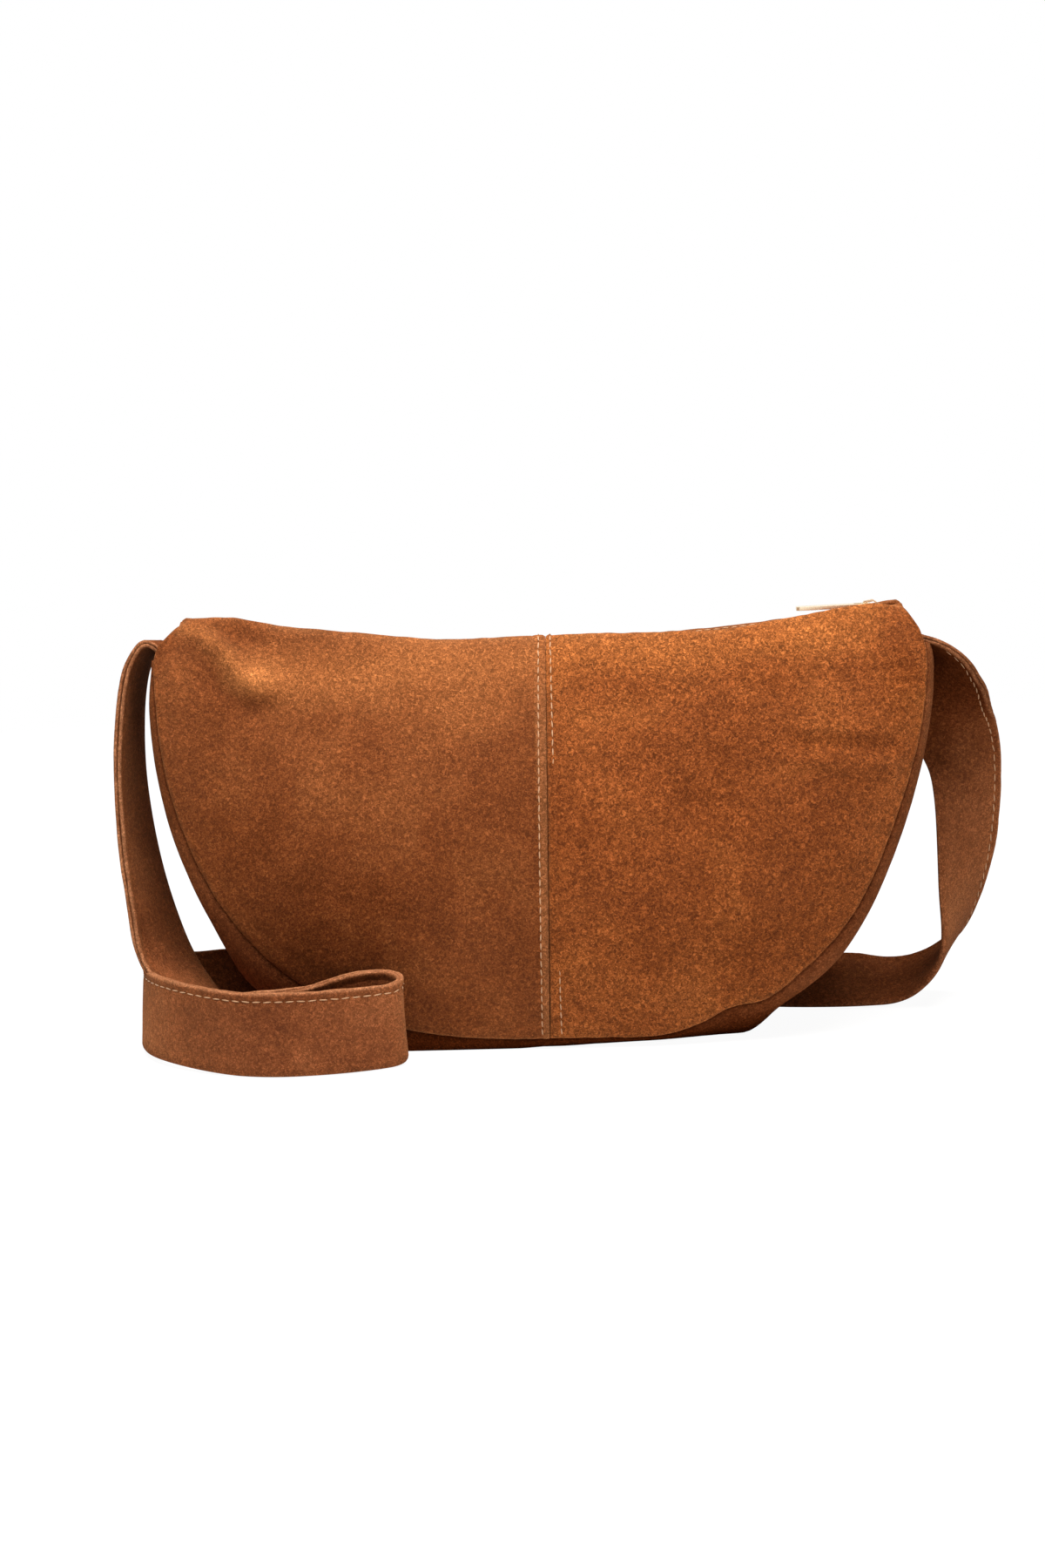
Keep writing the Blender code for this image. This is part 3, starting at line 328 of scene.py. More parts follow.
# Route of the strap's middle as shares, its lowest point, and the direction across it to the fold
STRAP_ROUTE_SHARES = (
    (-0.927, 0, 0.891, 0.06, 1, -0.25),
    (-0.948, -0.001, 0.857, 0.08, 0.99, -0.2),
    (-0.965, -0.007, 0.78, 0.13, 0.99, -0.1),
    (-0.971, -0.02, 0.668, 0.17, 0.98, 0),
    (-0.967, -0.035, 0.55, 0.22, 0.97, 0),
    (-0.956, -0.055, 0.43, 0.28, 0.95, -0.05),
    (-0.932, -0.085, 0.3, 0.38, 0.91, -0.16),
    (-0.9, -0.14, 0.184, 0.55, 0.8, -0.2),
    (-0.84, -0.26, 0.128, 0.77, 0.59, -0.14),
    (-0.755, -0.39, 0.04, 0.55, 0.55, -0.62),
    (-0.665, -0.47, 0.005, 0.25, 0.45, -0.86),
    (-0.58, -0.495, 0, 0.1, 0.42, -0.9),
    (-0.52, -0.492, 0, 0.03, 0.3, -0.95),
    (-0.46, -0.487, 0.01, 0, 0.12, -0.99),
    (-0.4, -0.49, 0.018, 0, 0.03, -1),
    (-0.366, -0.505, 0.016, 0.04, 0, -1),
    (-0.346, -0.545, 0.01, 0.07, 0, -1),
    (-0.341, -0.595, 0.005, 0.08, 0, -1),
    (-0.359, -0.645, 0.001, 0.05, 0, -1),
    (-0.4, -0.692, 0, 0, 0, -1),
    (-0.48, -0.748, 0, 0, 0, -1),
    (-0.57, -0.78, 0, 0, 0, -1),
    (-0.66, -0.775, 0, 0, 0, -1),
    (-0.755, -0.7, 0.003, 0, -0.02, -1),
    (-0.845, -0.575, 0.008, 0, -0.04, -1),
    (-0.915, -0.42, 0.01, -0.06, -0.03, -1),
    (-0.948, -0.235, 0.008, -0.1, 0, -1),
    (-0.952, -0.06, 0.004, -0.08, -0.04, -1),
    (-0.93, 0.08, 0, 0, -0.18, -0.98),
    (-0.875, 0.175, 0, 0.03, -0.33, -0.94),
    (-0.79, 0.25, 0, 0, -0.38, -0.92),
    (-0.69, 0.345, 0, 0, -0.33, -0.94),
    (-0.59, 0.44, 0, 0, -0.17, -0.98),
    (-0.485, 0.53, 0, 0, -0.08, -1),
    (-0.37, 0.595, 0, 0, -0.1, -1),
    (-0.25, 0.64, 0, 0, -0.17, -0.99),
    (-0.125, 0.662, 0, 0, -0.27, -0.96),
    (0, 0.665, 0, 0, -0.4, -0.92),
    (0.25, 0.622, 0, 0, -0.65, -0.76),
    (0.36, 0.59, 0, 0, -0.74, -0.67),
    (0.46, 0.545, 0, 0, -0.81, -0.59),
    (0.55, 0.48, 0, 0, -0.86, -0.52),
    (0.7, 0.42, 0, 0, -0.87, -0.49),
    (0.768, 0.43, 0, -0.02, -0.88, -0.47),
    (0.828, 0.445, 0.003, -0.03, -0.92, -0.38),
    (0.885, 0.44, 0.025, -0.05, -0.96, -0.25),
    (0.932, 0.41, 0.065, -0.09, -0.98, -0.14),
    (0.966, 0.37, 0.112, -0.2, -0.97, -0.06),
    (0.986, 0.34, 0.165, -0.37, -0.93, 0),
    (0.997, 0.315, 0.225, -0.53, -0.85, 0),
    (1.003, 0.295, 0.285, -0.67, -0.74, 0),
    (1.009, 0.28, 0.355, -0.77, -0.64, 0),
    (1.012, 0.27, 0.43, -0.83, -0.56, 0),
    (1.013, 0.265, 0.51, -0.86, -0.51, 0),
    (1.008, 0.268, 0.59, -0.9, -0.38, 0),
    (0.993, 0.266, 0.645, -0.96, -0.14, 0),
    (0.978, 0.24, 0.695, -0.96, 0.22, 0),
    (0.968, 0.185, 0.743, -0.85, 0.5, 0),
    (0.961, 0.115, 0.789, -0.68, 0.72, -0.08),
    (0.951, 0.058, 0.82, -0.45, 0.88, -0.15),
    (0.941, 0.018, 0.843, -0.18, 0.96, -0.2),
)

# Folds pressed into the front: both ends (x, z), width and height of each
FRONT_FOLDS = (
    ((-0.164, 0.199), (-0.147, 0.188), 0.005, 0.0026),
    ((-0.149, 0.19), (-0.134, 0.172), 0.006, 0.0034),
    ((-0.145, 0.197), (-0.12, 0.186), 0.006, -0.0016),
    ((-0.15, 0.172), (-0.126, 0.16), 0.0065, -0.0022),
    ((0.112, 0.1415), (0.158, 0.1358), 0.0036, -0.0021),
    ((0.106, 0.134), (0.158, 0.1275), 0.0048, 0.002),
    ((0.092, 0.168), (0.128, 0.152), 0.007, -0.0014),
    ((0.01, 0.152), (0.06, 0.16), 0.006, -0.001),
    ((0.006, 0.17), (0.054, 0.161), 0.006, -0.0007),
    ((-0.11, 0.176), (-0.06, 0.166), 0.008, -0.0007),
    ((0.1, 0.18), (0.14, 0.165), 0.007, -0.0008),
)
# Dents and bulges of the front: centre (x, z), radii and height of each
FRONT_DENTS = (
    ((-0.128, 0.172), (0.012, 0.008), 0.0026),
    ((-0.105, 0.15), (0.03, 0.012), -0.0012),
    ((0.07, 0.021), (0.007, 0.005), -0.0013),
    ((-0.06, 0.1), (0.045, 0.035), 0.0012),
    ((0.075, 0.075), (0.04, 0.03), 0.0012),
    ((-0.145, 0.12), (0.018, 0.03), -0.0012),
    ((0.15, 0.17), (0.016, 0.012), -0.0014),
)
# Painted shade on the front where it lies in shade (positive share), and painted highlight where it faces the
# light (negative share): centre (x, z), radii and share
PAINTED_SHADING_PATCHES = (
    ((-0.12, 0.062), (0.05, 0.042), 0.22),
    ((-0.15, 0.115), (0.03, 0.03), 0.16),
    ((-0.095, 0.112), (0.045, 0.03), 0.12),
    ((-0.085, 0.05), (0.08, 0.045), 0.08),
    ((0.08, 0.115), (0.06, 0.035), 0.08),
    ((0.065, 0.045), (0.06, 0.035), 0.08),
    ((0.166, 0.168), (0.014, 0.024), 0.2),
    ((0.122, 0.173), (0.03, 0.011), 0.12),
    ((0.149, 0.199), (0.01, 0.008), -0.22),
    ((-0.031, 0.158), (0.022, 0.018), -0.13),
    ((-0.031, 0.105), (0.022, 0.025), 0.08),
    ((-0.076, 0.067), (0.022, 0.022), 0.1),
    ((-0.01, 0.095), (0.016, 0.06), 0.08),
    ((-0.16, 0.1968), (0.0075, 0.004), -0.34),
    ((-0.1515, 0.1915), (0.0055, 0.005), -0.36),
    ((-0.1445, 0.184), (0.005, 0.006), -0.4),
    ((-0.134, 0.1745), (0.011, 0.0072), -0.62),
    ((-0.1405, 0.1945), (0.01, 0.0045), 0.14),
    ((-0.1375, 0.163), (0.016, 0.006), 0.2),
    ((-0.15, 0.1735), (0.008, 0.008), 0.12),
    ((-0.104, 0.154), (0.018, 0.006), 0.14),
    ((-0.105, 0.166), (0.036, 0.016), -0.24),
    ((-0.165, 0.178), (0.01, 0.016), -0.1),
    ((-0.05, 0.179), (0.07, 0.012), -0.22),
    ((0.05, 0.182), (0.07, 0.009), -0.2),
    ((0.13, 0.188), (0.03, 0.011), -0.3),
    ((0.122, 0.1385), (0.02, 0.0035), 0.22),
    ((0.145, 0.1335), (0.02, 0.0035), 0.16),
    ((0.13, 0.128), (0.024, 0.004), -0.1),
    ((0.07, 0.1), (0.018, 0.04), 0.08),
    ((0.135, 0.04), (0.03, 0.03), 0.1),
)
PAINTED_SHADING_UNEVEN = 0.10
PAINTED_SHADING_SCALE = 28
FOLD_END_LEVEL = 0.35
FOLD_END_PHASE = 0.15


def smooth_step(value):
    value = min(max(value, 0), 1)
    return value * value * (3 - 2 * value)


def fade(value, start, length):
    return smooth_step((value - start) / length)


def blend(first, second, share):
    return first + (second - first) * share


def bump(value, width):
    return math.exp(-(value / width) ** 2)


def drift(*place):
    """Smooth noise from -1 to 1."""
    return noise.noise(Vector(place))


def hump(value, place, width, height):
    return height * bump(value - place, width)


def humps(value, table):
    return sum(hump(value, *row) for row in table)


def patch(point, middle, radii):
    """1 in the middle of a soft oval patch, falling off to 0 outside it."""
    return math.exp(-((point.x - middle[0]) / radii[0]) ** 2 - ((point.z - middle[1]) / radii[1]) ** 2)


def bezier(points, share):
    rest = 1 - share
    weights = (rest ** 3, 3 * rest ** 2 * share, 3 * rest * share ** 2, share ** 3)
    return sum((point * weight for point, weight in zip(points, weights)), Vector((0, 0, 0)))


def half_moon(turn, half_length, widest_z, drop, side_power, corner_length, corner_height):
    """Point of a half-moon line. The turn is 0 at its foot and a right angle where it is widest."""
    side = math.copysign(1, turn)
    turn = abs(turn)
    if turn <= RIGHT_ANGLE:
        x = half_length * math.sin(turn) ** (2 / side_power)
        z = widest_z - drop * math.cos(turn)
    else:
        x = half_length - corner_length * (1 - math.sin(turn))
        z = widest_z - corner_height * math.cos(turn)
    return Vector((side * x, 0, z))


def seam_line(turn):
    return half_moon(turn, PANEL_HALF_LENGTH, PANEL_WIDEST_Z, PANEL_WIDEST_Z - BASE_SEAM_Z,
                     PANEL_SIDE_POWER, PANEL_CORNER_LENGTH, PANEL_CORNER_HEIGHT)


def crown_line(turn):
    point = half_moon(turn, *CROWN_OUTLINE)
    point.z = max(point.z, 0)
    return point


def seam_tangent(turn):
    small = PANEL_END_TURN / SEAM_STEPS
    return (seam_line(turn + small) - seam_line(turn - small)).normalized()


def seam_outward(turn):
    tangent = seam_tangent(turn)
    return Vector((tangent.z, 0, -tangent.x))


def seam_half_depth(turn):
    share = (1 + math.cos(math.pi * turn / PANEL_END_TURN)) / 2
    return blend(GUSSET_END_HALF_DEPTH, BASE_HALF_DEPTH, share)


def allowance_frame(turn, facing):
    """Directions along and across the turned-in allowance of a seam."""
    outward = seam_outward(turn)
    inside = BACK * -facing
    along = inside * math.sin(ALLOWANCE_LEAN) - outward * math.cos(ALLOWANCE_LEAN)
    across = inside * math.cos(ALLOWANCE_LEAN) + outward * math.sin(ALLOWANCE_LEAN)
    return along, across


def running_lengths(points):
    lengths = [0]
    for first, second in zip(points, points[1:]):
        lengths.append(lengths[-1] + (second - first).length)
    return lengths


TURNS = [PANEL_END_TURN * i / SEAM_STEPS for i in range(SEAM_STEPS + 1)]
LENGTHS = running_lengths([seam_line(turn) for turn in TURNS])


def turn_at(share):
    """Turn at a share of the seam's length from the middle to its end, negative on the left."""
    wanted = min(abs(share), 1) * LENGTHS[-1]
    place = min(max(bisect.bisect_left(LENGTHS, wanted), 1), len(LENGTHS) - 1)
    before = LENGTHS[place - 1]
    part = (wanted - before) / (LENGTHS[place] - before)
    return math.copysign(blend(TURNS[place - 1], TURNS[place], part), share)


def zip_height(x, above=0.0):
    return ZIP_CENTRE_Z - math.sqrt((ZIP_RADIUS - above) ** 2 - x ** 2)


def front_seam_shift(turn):
    """How far the front's seam strays from its plain line: lumps low on the right, a swollen left corner."""
    corner = bump(turn - CORNER_SWELL_TURN, CORNER_SWELL_REACH)
    return UP * humps(seam_line(turn).x, SEAM_HUMPS) + seam_outward(turn) * CORNER_SWELL * corner


def soft_foot(height):
    """Height of the gusset's crown line, rounded where it leaves the floor."""
    height = max(height, 0)
    if height < FOOT_ROUND:
        height = height * height * (2 * FOOT_ROUND - height) / FOOT_ROUND ** 2
    return height


def side_tuck(point, reach_below):
    """How far the bag's right side is drawn in between its base and its corner."""
    reach = TUCK_REACH_ABOVE if point.z > TUCK_Z else reach_below
    amount = TUCK * bump(point.z - TUCK_Z, reach) * fade(point.z, *TUCK_TOP_FADE)
    return Vector((-amount * fade(point.x, *TUCK_SIDE_FADE), 0, 0))


def middle_shift(x, z):
    """The sewn middle seam leans between its two rows: to the right at the top, to the left at the foot."""
    lean = blend(MIDDLE_FOOT_LEAN, MIDDLE_TOP_LEAN, min(max(z / MIDDLE_TOP_Z, 0), 1))
    return lean * fade(abs(x), *MIDDLE_LEAN_FADE)


def panel_curves(share, facing):
    """Seam point, allowance direction, and the two curves of one line of a panel's outer face."""
    turn = turn_at(share)
    along, across = allowance_frame(turn, facing)
    seam = seam_line(turn) + BACK * facing * seam_half_depth(turn) - across * SEAM_GAP / 2
    seam += side_tuck(seam, SEAM_TUCK_BELOW)
    edge_x = share * ZIP_EDGE_HALF
    edge = Vector((edge_x, facing * HEM_HALF_GAP, zip_height(edge_x, HEM_HEIGHT)))
    ridge_x = blend(seam.x, edge_x, RIDGE_LEAN_SHARE)
    full_rise = FRONT_RIDGE_RISE if facing < 0 else BACK_RIDGE_RISE
    rise = full_rise * (1 - RIDGE_SINK_SHARE * share ** 2) * (1 - abs(share) ** RIDGE_TAPER_POWER)
    if facing < 0:
        rise += humps(edge_x, RIDGE_HUMPS)
        seam += front_seam_shift(turn)
    ridge = Vector((ridge_x, facing * RIDGE_HALF_GAP, zip_height(edge_x, HEM_HEIGHT) + rise))
    fullness = (ridge.z - seam.z) / (ZIP_MIDDLE_Z - BASE_SEAM_Z)
    belly = Vector((
        blend(seam.x, edge_x, BELLY_LEAN_SHARE),
        seam.y + facing * BELLY_DEPTH * fullness,
        blend(seam.z, ridge.z, BELLY_HEIGHT_SHARE),
    ))
    shoulder = Vector((
        blend(seam.x, edge_x, SHOULDER_LEAN_SHARE),
        ridge.y + facing * SHOULDER_DEPTH * fullness,
        ridge.z,
    ))
    lip_full = Vector((ridge.x, blend(ridge.y, edge.y, LIP_FULL_SHARE), ridge.z))
    lip_flat = Vector((edge.x, blend(edge.y, ridge.y, LIP_FLAT_SHARE), edge.z))
    return seam, along, (seam, belly, shoulder, ridge), (ridge, lip_full, lip_flat, edge)


def panel_line(share, facing):
    """Points of one line of a panel: turned-in allowance, rolled edge, body, ridge and lip."""
    seam, along, body, lip = panel_curves(share, facing)
    roll = min(SEAM_ROLL, (body[-1] - seam).length / 3)
    start = 0
    while (bezier(body, start) - seam).length < roll and start < ROLL_LAST_SHARE:
        start += ROLL_STEP
    inner = seam + along * roll
    outer = bezier(body, start)
    line = [seam + along * ALLOWANCE_SHOWN]
    for i in range(ROLL_ROWS):
        part = i / ROLL_ROWS
        rest = 1 - part
        line.append(inner * rest ** 2 + seam * 2 * rest * part + outer * part ** 2)
    line += [bezier(body, blend(start, 1, i / BODY_ROWS)) for i in range(BODY_ROWS)]
    line += [bezier(lip, i / LIP_ROWS) for i in range(LIP_ROWS + 1)]
    return line


def segment_distance(x, z, start, end):
    """Distance from a line between two points, and how far along it, from 0 to 1, the nearest place is."""
    run = (end[0] - start[0], end[1] - start[1])
    length = run[0] ** 2 + run[1] ** 2
    part = ((x - start[0]) * run[0] + (z - start[1]) * run[1]) / length
    part = min(max(part, 0), 1)
    return math.hypot(x - start[0] - run[0] * part, z - start[1] - run[1] * part), part


def front_relief(point):
    """Height of the front's folds, dents and sewn middle seam over the plain form."""
    height = 0
    for start, end, width, rise in FRONT_FOLDS:
        distance, part = segment_distance(point.x, point.z, start, end)
        level = math.sin(math.pi * blend(FOLD_END_PHASE, 1 - FOLD_END_PHASE, part))
        height += rise * bump(distance, width) * blend(FOLD_END_LEVEL, 1, level)
    for middle, radii, rise in FRONT_DENTS:
        height += rise * patch(point, middle, radii)
    reach = abs(point.x)
    return height + MIDDLE_BAND * fade(reach, *MIDDLE_BAND_FADE) + humps(reach, MIDDLE_GROOVES)


def front_painted_shading(point):
    """Painted shade on the front at a point; below nought it is a painted highlight instead."""
    share = sum(level * patch(point, middle, radii) for middle, radii, level in PAINTED_SHADING_PATCHES)
    return share + PAINTED_SHADING_UNEVEN * noise.noise(point * PAINTED_SHADING_SCALE)


def soft_relief(point, seed, coarse, fine):
    """Gentle unevenness of a soft panel."""
    offsets = (Vector((seed, 0, 0)), Vector((0, seed, 0)), Vector((0, 0, seed)))
    large, middle, small = [noise.noise(point * scale + offset) for scale, offset in zip(SOFT_SCALES, offsets)]
    return coarse * blend(middle, large, SOFT_LARGE_SHARE) + fine * small


def grid_normals(rows, flip):
    """Normal at each point of a grid of points."""
    normals = []
    for i, row in enumerate(rows):
        line = []
        for j in range(len(row)):
            along = rows[min(i + 1, len(rows) - 1)][j] - rows[max(i - 1, 0)][j]
            across = row[min(j + 1, len(row) - 1)] - row[max(j - 1, 0)]
            normal = across.cross(along) if flip else along.cross(across)
            line.append(normal.normalized() if normal.length > 0 else UP.copy())
        normals.append(line)
    return normals


def grid_mesh(name, rows, ring=False, flip=False):
    mesh = bpy.data.meshes.new(name)
    bm = bmesh.new()
    corners = [[bm.verts.new(point) for point in row] for row in rows]
    count = len(corners[0])
    for row, following in zip(corners, corners[1:]):
        for i in range(count if ring else count - 1):
            j = (i + 1) % count
            face = (row[i], following[i], following[j], row[j])
            bm.faces.new(face[::-1] if flip else face)
    if ring:
        bm.faces.new(corners[0])
        bm.faces.new(corners[-1][::-1])
        bmesh.ops.recalc_face_normals(bm, faces=bm.faces)
    bm.to_mesh(mesh)
    bm.free()
    mesh.shade_smooth()
    return mesh


def mark(mesh, name, shares):
    """Store a share at each point, row by row: how pale it is from wear and painted highlight, or how much
    painted shade it has, below nought painted highlight.
    """
    marked = mesh.attributes.new(name, "FLOAT", "POINT")
    marked.data.foreach_set("value", shares)


def new_object(name, data):
    made = bpy.data.objects.new(name, data)
    bpy.context.scene.collection.objects.link(made)
    return made


def place_piece(name, mesh, material):
    """Piece of the bag with its material."""
    piece = new_object(name, mesh)
    mesh.materials.clear()
    mesh.materials.append(material)
    return piece


def bake(piece):
    """Apply the piece's modifiers to its mesh."""
    evaluated = piece.evaluated_get(bpy.context.evaluated_depsgraph_get())
    mesh = bpy.data.meshes.new_from_object(evaluated)
    piece.modifiers.clear()
    old = piece.data
    piece.data = mesh
    bpy.data.meshes.remove(old)


def wall(piece, thickness):
    """Give a sheet its thickness, behind its outer face."""
    layer = piece.modifiers.new("wall", "SOLIDIFY")
    layer.thickness = thickness
    layer.offset = -1
    layer.use_even_offset = False
    bake(piece)


# Nodes of materials


def fill(tree, node, inputs):
    """Give a node's inputs plain values, or what feeds them: a socket, or a node for its first output."""
    for name, value in inputs.items():
        if isinstance(value, bpy.types.Node):
            value = value.outputs[0]
        if isinstance(value, bpy.types.NodeSocket):
            tree.links.new(value, node.inputs[name])
        else:
            node.inputs[name].default_value = value


def put(tree, kind, inputs=None, **settings):
    """New node with its settings and inputs."""
    node = tree.nodes.new(kind)
    for name, value in settings.items():
        setattr(node, name, value)
    fill(tree, node, inputs or {})
    return node


def new_material(name):
    material = bpy.data.materials.new(name)
    material.use_nodes = True
    tree = material.node_tree
    return material, tree, tree.nodes["Principled BSDF"]


def object_place(tree):
    return put(tree, "ShaderNodeTexCoord").outputs["Object"]


def attribute(tree, name):
    return put(tree, "ShaderNodeAttribute", attribute_name=name).outputs["Fac"]


def noise_node(tree, source, scale, detail, roughness, distortion):
    return put(tree, "ShaderNodeTexNoise", {
        "Scale": scale, "Detail": detail, "Roughness": roughness, "Distortion": distortion, "Vector": source})


def ramp_node(tree, source, stops):
    ramp = put(tree, "ShaderNodeValToRGB", {"Fac": source})
    elements = ramp.color_ramp.elements
    while len(elements) < len(stops):
        elements.new(0.5)
    for element, (place, colour) in zip(elements, stops):
        element.position = place
        element.color = (*colour, 1)
    return ramp


def mix_colour(tree, first, second, factor, mode="MIX"):
    if isinstance(second, tuple):
        second = (*second, 1)
    inputs = {"A": first, "B": second, "Factor": factor}
    return put(tree, "ShaderNodeMix", inputs, data_type="RGBA", blend_type=mode).outputs["Result"]


def maths(tree, operation, first, second):
    return put(tree, "ShaderNodeMath", {0: first, 1: second}, operation=operation)


def times(tree, first, second):
    return maths(tree, "MULTIPLY", first, second)


def add_relief(tree, shader, height, strength, distance):
    fill(tree, shader, {"Normal": put(tree, "ShaderNodeBump", {
        "Strength": strength, "Distance": distance, "Height": height})})


def tinted(colour, factors):
    return tuple(part * factor for part, factor in zip(colour, factors))


def grey(level):
    return (level, level, level)


def suede_material(name, dark, middle, light, nap, speckle, depth, sheen):
    """Napped suede: cloudy patches, tufts and fibre tips, painted shade and painted highlight, pale wear with
    some painted highlight.
    """
    material, tree, shader = new_material(name)
    place = object_place(tree)
    clouds = noise_node(tree, place, *CLOUDS)
    mottle = noise_node(tree, place, *MOTTLE)
    tufts = noise_node(tree, place, nap, *TUFTS)
    fibres = noise_node(tree, place, nap * FIBRE_FINENESS, *FIBRES)
    body = ramp_node(tree, clouds, ((0.32, dark), (0.51, middle), (0.72, light)))
    patches = ramp_node(tree, mottle, [(at, grey(level)) for at, level in MOTTLE_LEVELS])
    body = mix_colour(tree, body, patches, 1.0, "MULTIPLY")
    # Painted shade darkens the colour towards a deep red-brown, and painted highlight lightens it towards a
    # pale tan
    brushed = attribute(tree, "brushed")
    painted_shade = maths(tree, "MAXIMUM", brushed, 0)
    body = mix_colour(tree, body, tinted(dark, PAINTED_SHADE_TINT), painted_shade)
    # upward is the share of painted highlight
    upward = maths(tree, "MINIMUM", times(tree, brushed, -1), 1)
    upward = maths(tree, "MAXIMUM", upward, 0)
    body = mix_colour(tree, body, tinted(light, PAINTED_HIGHLIGHT_TINT), upward)
    # Pale wear, and on the panels' ridge a painted highlight
    body = mix_colour(tree, body, tinted(light, WEAR_AND_HIGHLIGHT_TINT), attribute(tree, "worn"))
    grain = maths(tree, "ADD", maths(tree, "MULTIPLY", tufts, 1 - FIBRE_SHARE),
                  times(tree, fibres, FIBRE_SHARE))
    tips = tuple(1 + part * speckle for part in TIP_TINT)
    specks = ramp_node(tree, grain, (
        (0.40, grey(1 - 0.85 * speckle)), (0.48, grey(0.90)), (0.55, grey(1 + 0.8 * speckle)), (0.63, tips)))
    body = mix_colour(tree, body, specks, 1.0, "MULTIPLY")
    # Where shade is painted, the shine and the sheen are turned down too
    unshaded = maths(tree, "MAXIMUM", maths(tree, "SUBTRACT", 1, times(tree, painted_shade, 2.0)), 0)
    fill(tree, shader, {
        "Base Color": body,
        "Roughness": 0.95,
        "Specular IOR Level": times(tree, unshaded, NAP_SPECULAR),
        "Sheen Weight": times(tree, unshaded, sheen),
        "Sheen Roughness": 0.40,
        "Sheen Tint": SHEEN_TINT,
    })
    height = maths(tree, "ADD", grain, times(tree, mottle, MOTTLE_RELIEF_SHARE))
    add_relief(tree, shader, height, 1.0, depth)
    return material


def thread_material(name, colour):
    """Spun thread with a fine twist."""
    material, tree, shader = new_material(name)
    twist = noise_node(tree, object_place(tree), *THREAD_TWIST)
    pale = tuple(min(1.15 * part, 1) for part in colour)
    shades = ramp_node(tree, twist, ((0.3, tinted(colour, grey(0.72))), (0.7, pale)))
    fill(tree, shader, {"Base Color": shades, "Roughness": 0.7, "Sheen Weight": 0.2})
    add_relief(tree, shader, twist, 0.5, 0.0001)
    return material


def metal_material(name, colour, roughness):
    """Plated metal with faint rubbed streaks."""
    material, tree, shader = new_material(name)
    streaks = noise_node(tree, object_place(tree), *METAL_STREAKS)
    shades = ramp_node(tree, streaks, ((0.3, tinted(colour, grey(0.86))), (0.7, colour)))
    rubbed = maths(tree, "ADD", times(tree, streaks, 0.16), roughness - 0.08)
    fill(tree, shader, {"Base Color": shades, "Metallic": 1.0, "Roughness": rubbed})
    return material


def tape_material(name, colour):
    """Woven tape: a herringbone of fine warp threads."""
    material, tree, shader = new_material(name)
    place = object_place(tree)
    weave = put(tree, "ShaderNodeTexWave", {"Scale": 320, "Distortion": 1.0, "Detail": 1.0, "Vector": place},
                wave_type="BANDS", bands_direction="DIAGONAL")
    ribs = put(tree, "ShaderNodeTexWave", {"Scale": 260, "Vector": place},
               wave_type="BANDS", bands_direction="Y")
    cloth = maths(tree, "MULTIPLY", weave.outputs["Fac"], ribs.outputs["Fac"])
    shades = ramp_node(tree, cloth, ((0.0, tinted(colour, grey(0.6))), (0.8, colour)))
    fill(tree, shader, {
        "Base Color": shades, "Roughness": 0.9, "Specular IOR Level": 0.15, "Sheen Weight": 0.04})
    add_relief(tree, shader, cloth, 0.6, 0.0002)
    return material


# Stitches


def group_input(tree, name, kind, value=None):
    socket = tree.interface.new_socket(name=name, in_out="INPUT", socket_type=kind)
    if value is not None:
        socket.default_value = value
    return socket.identifier


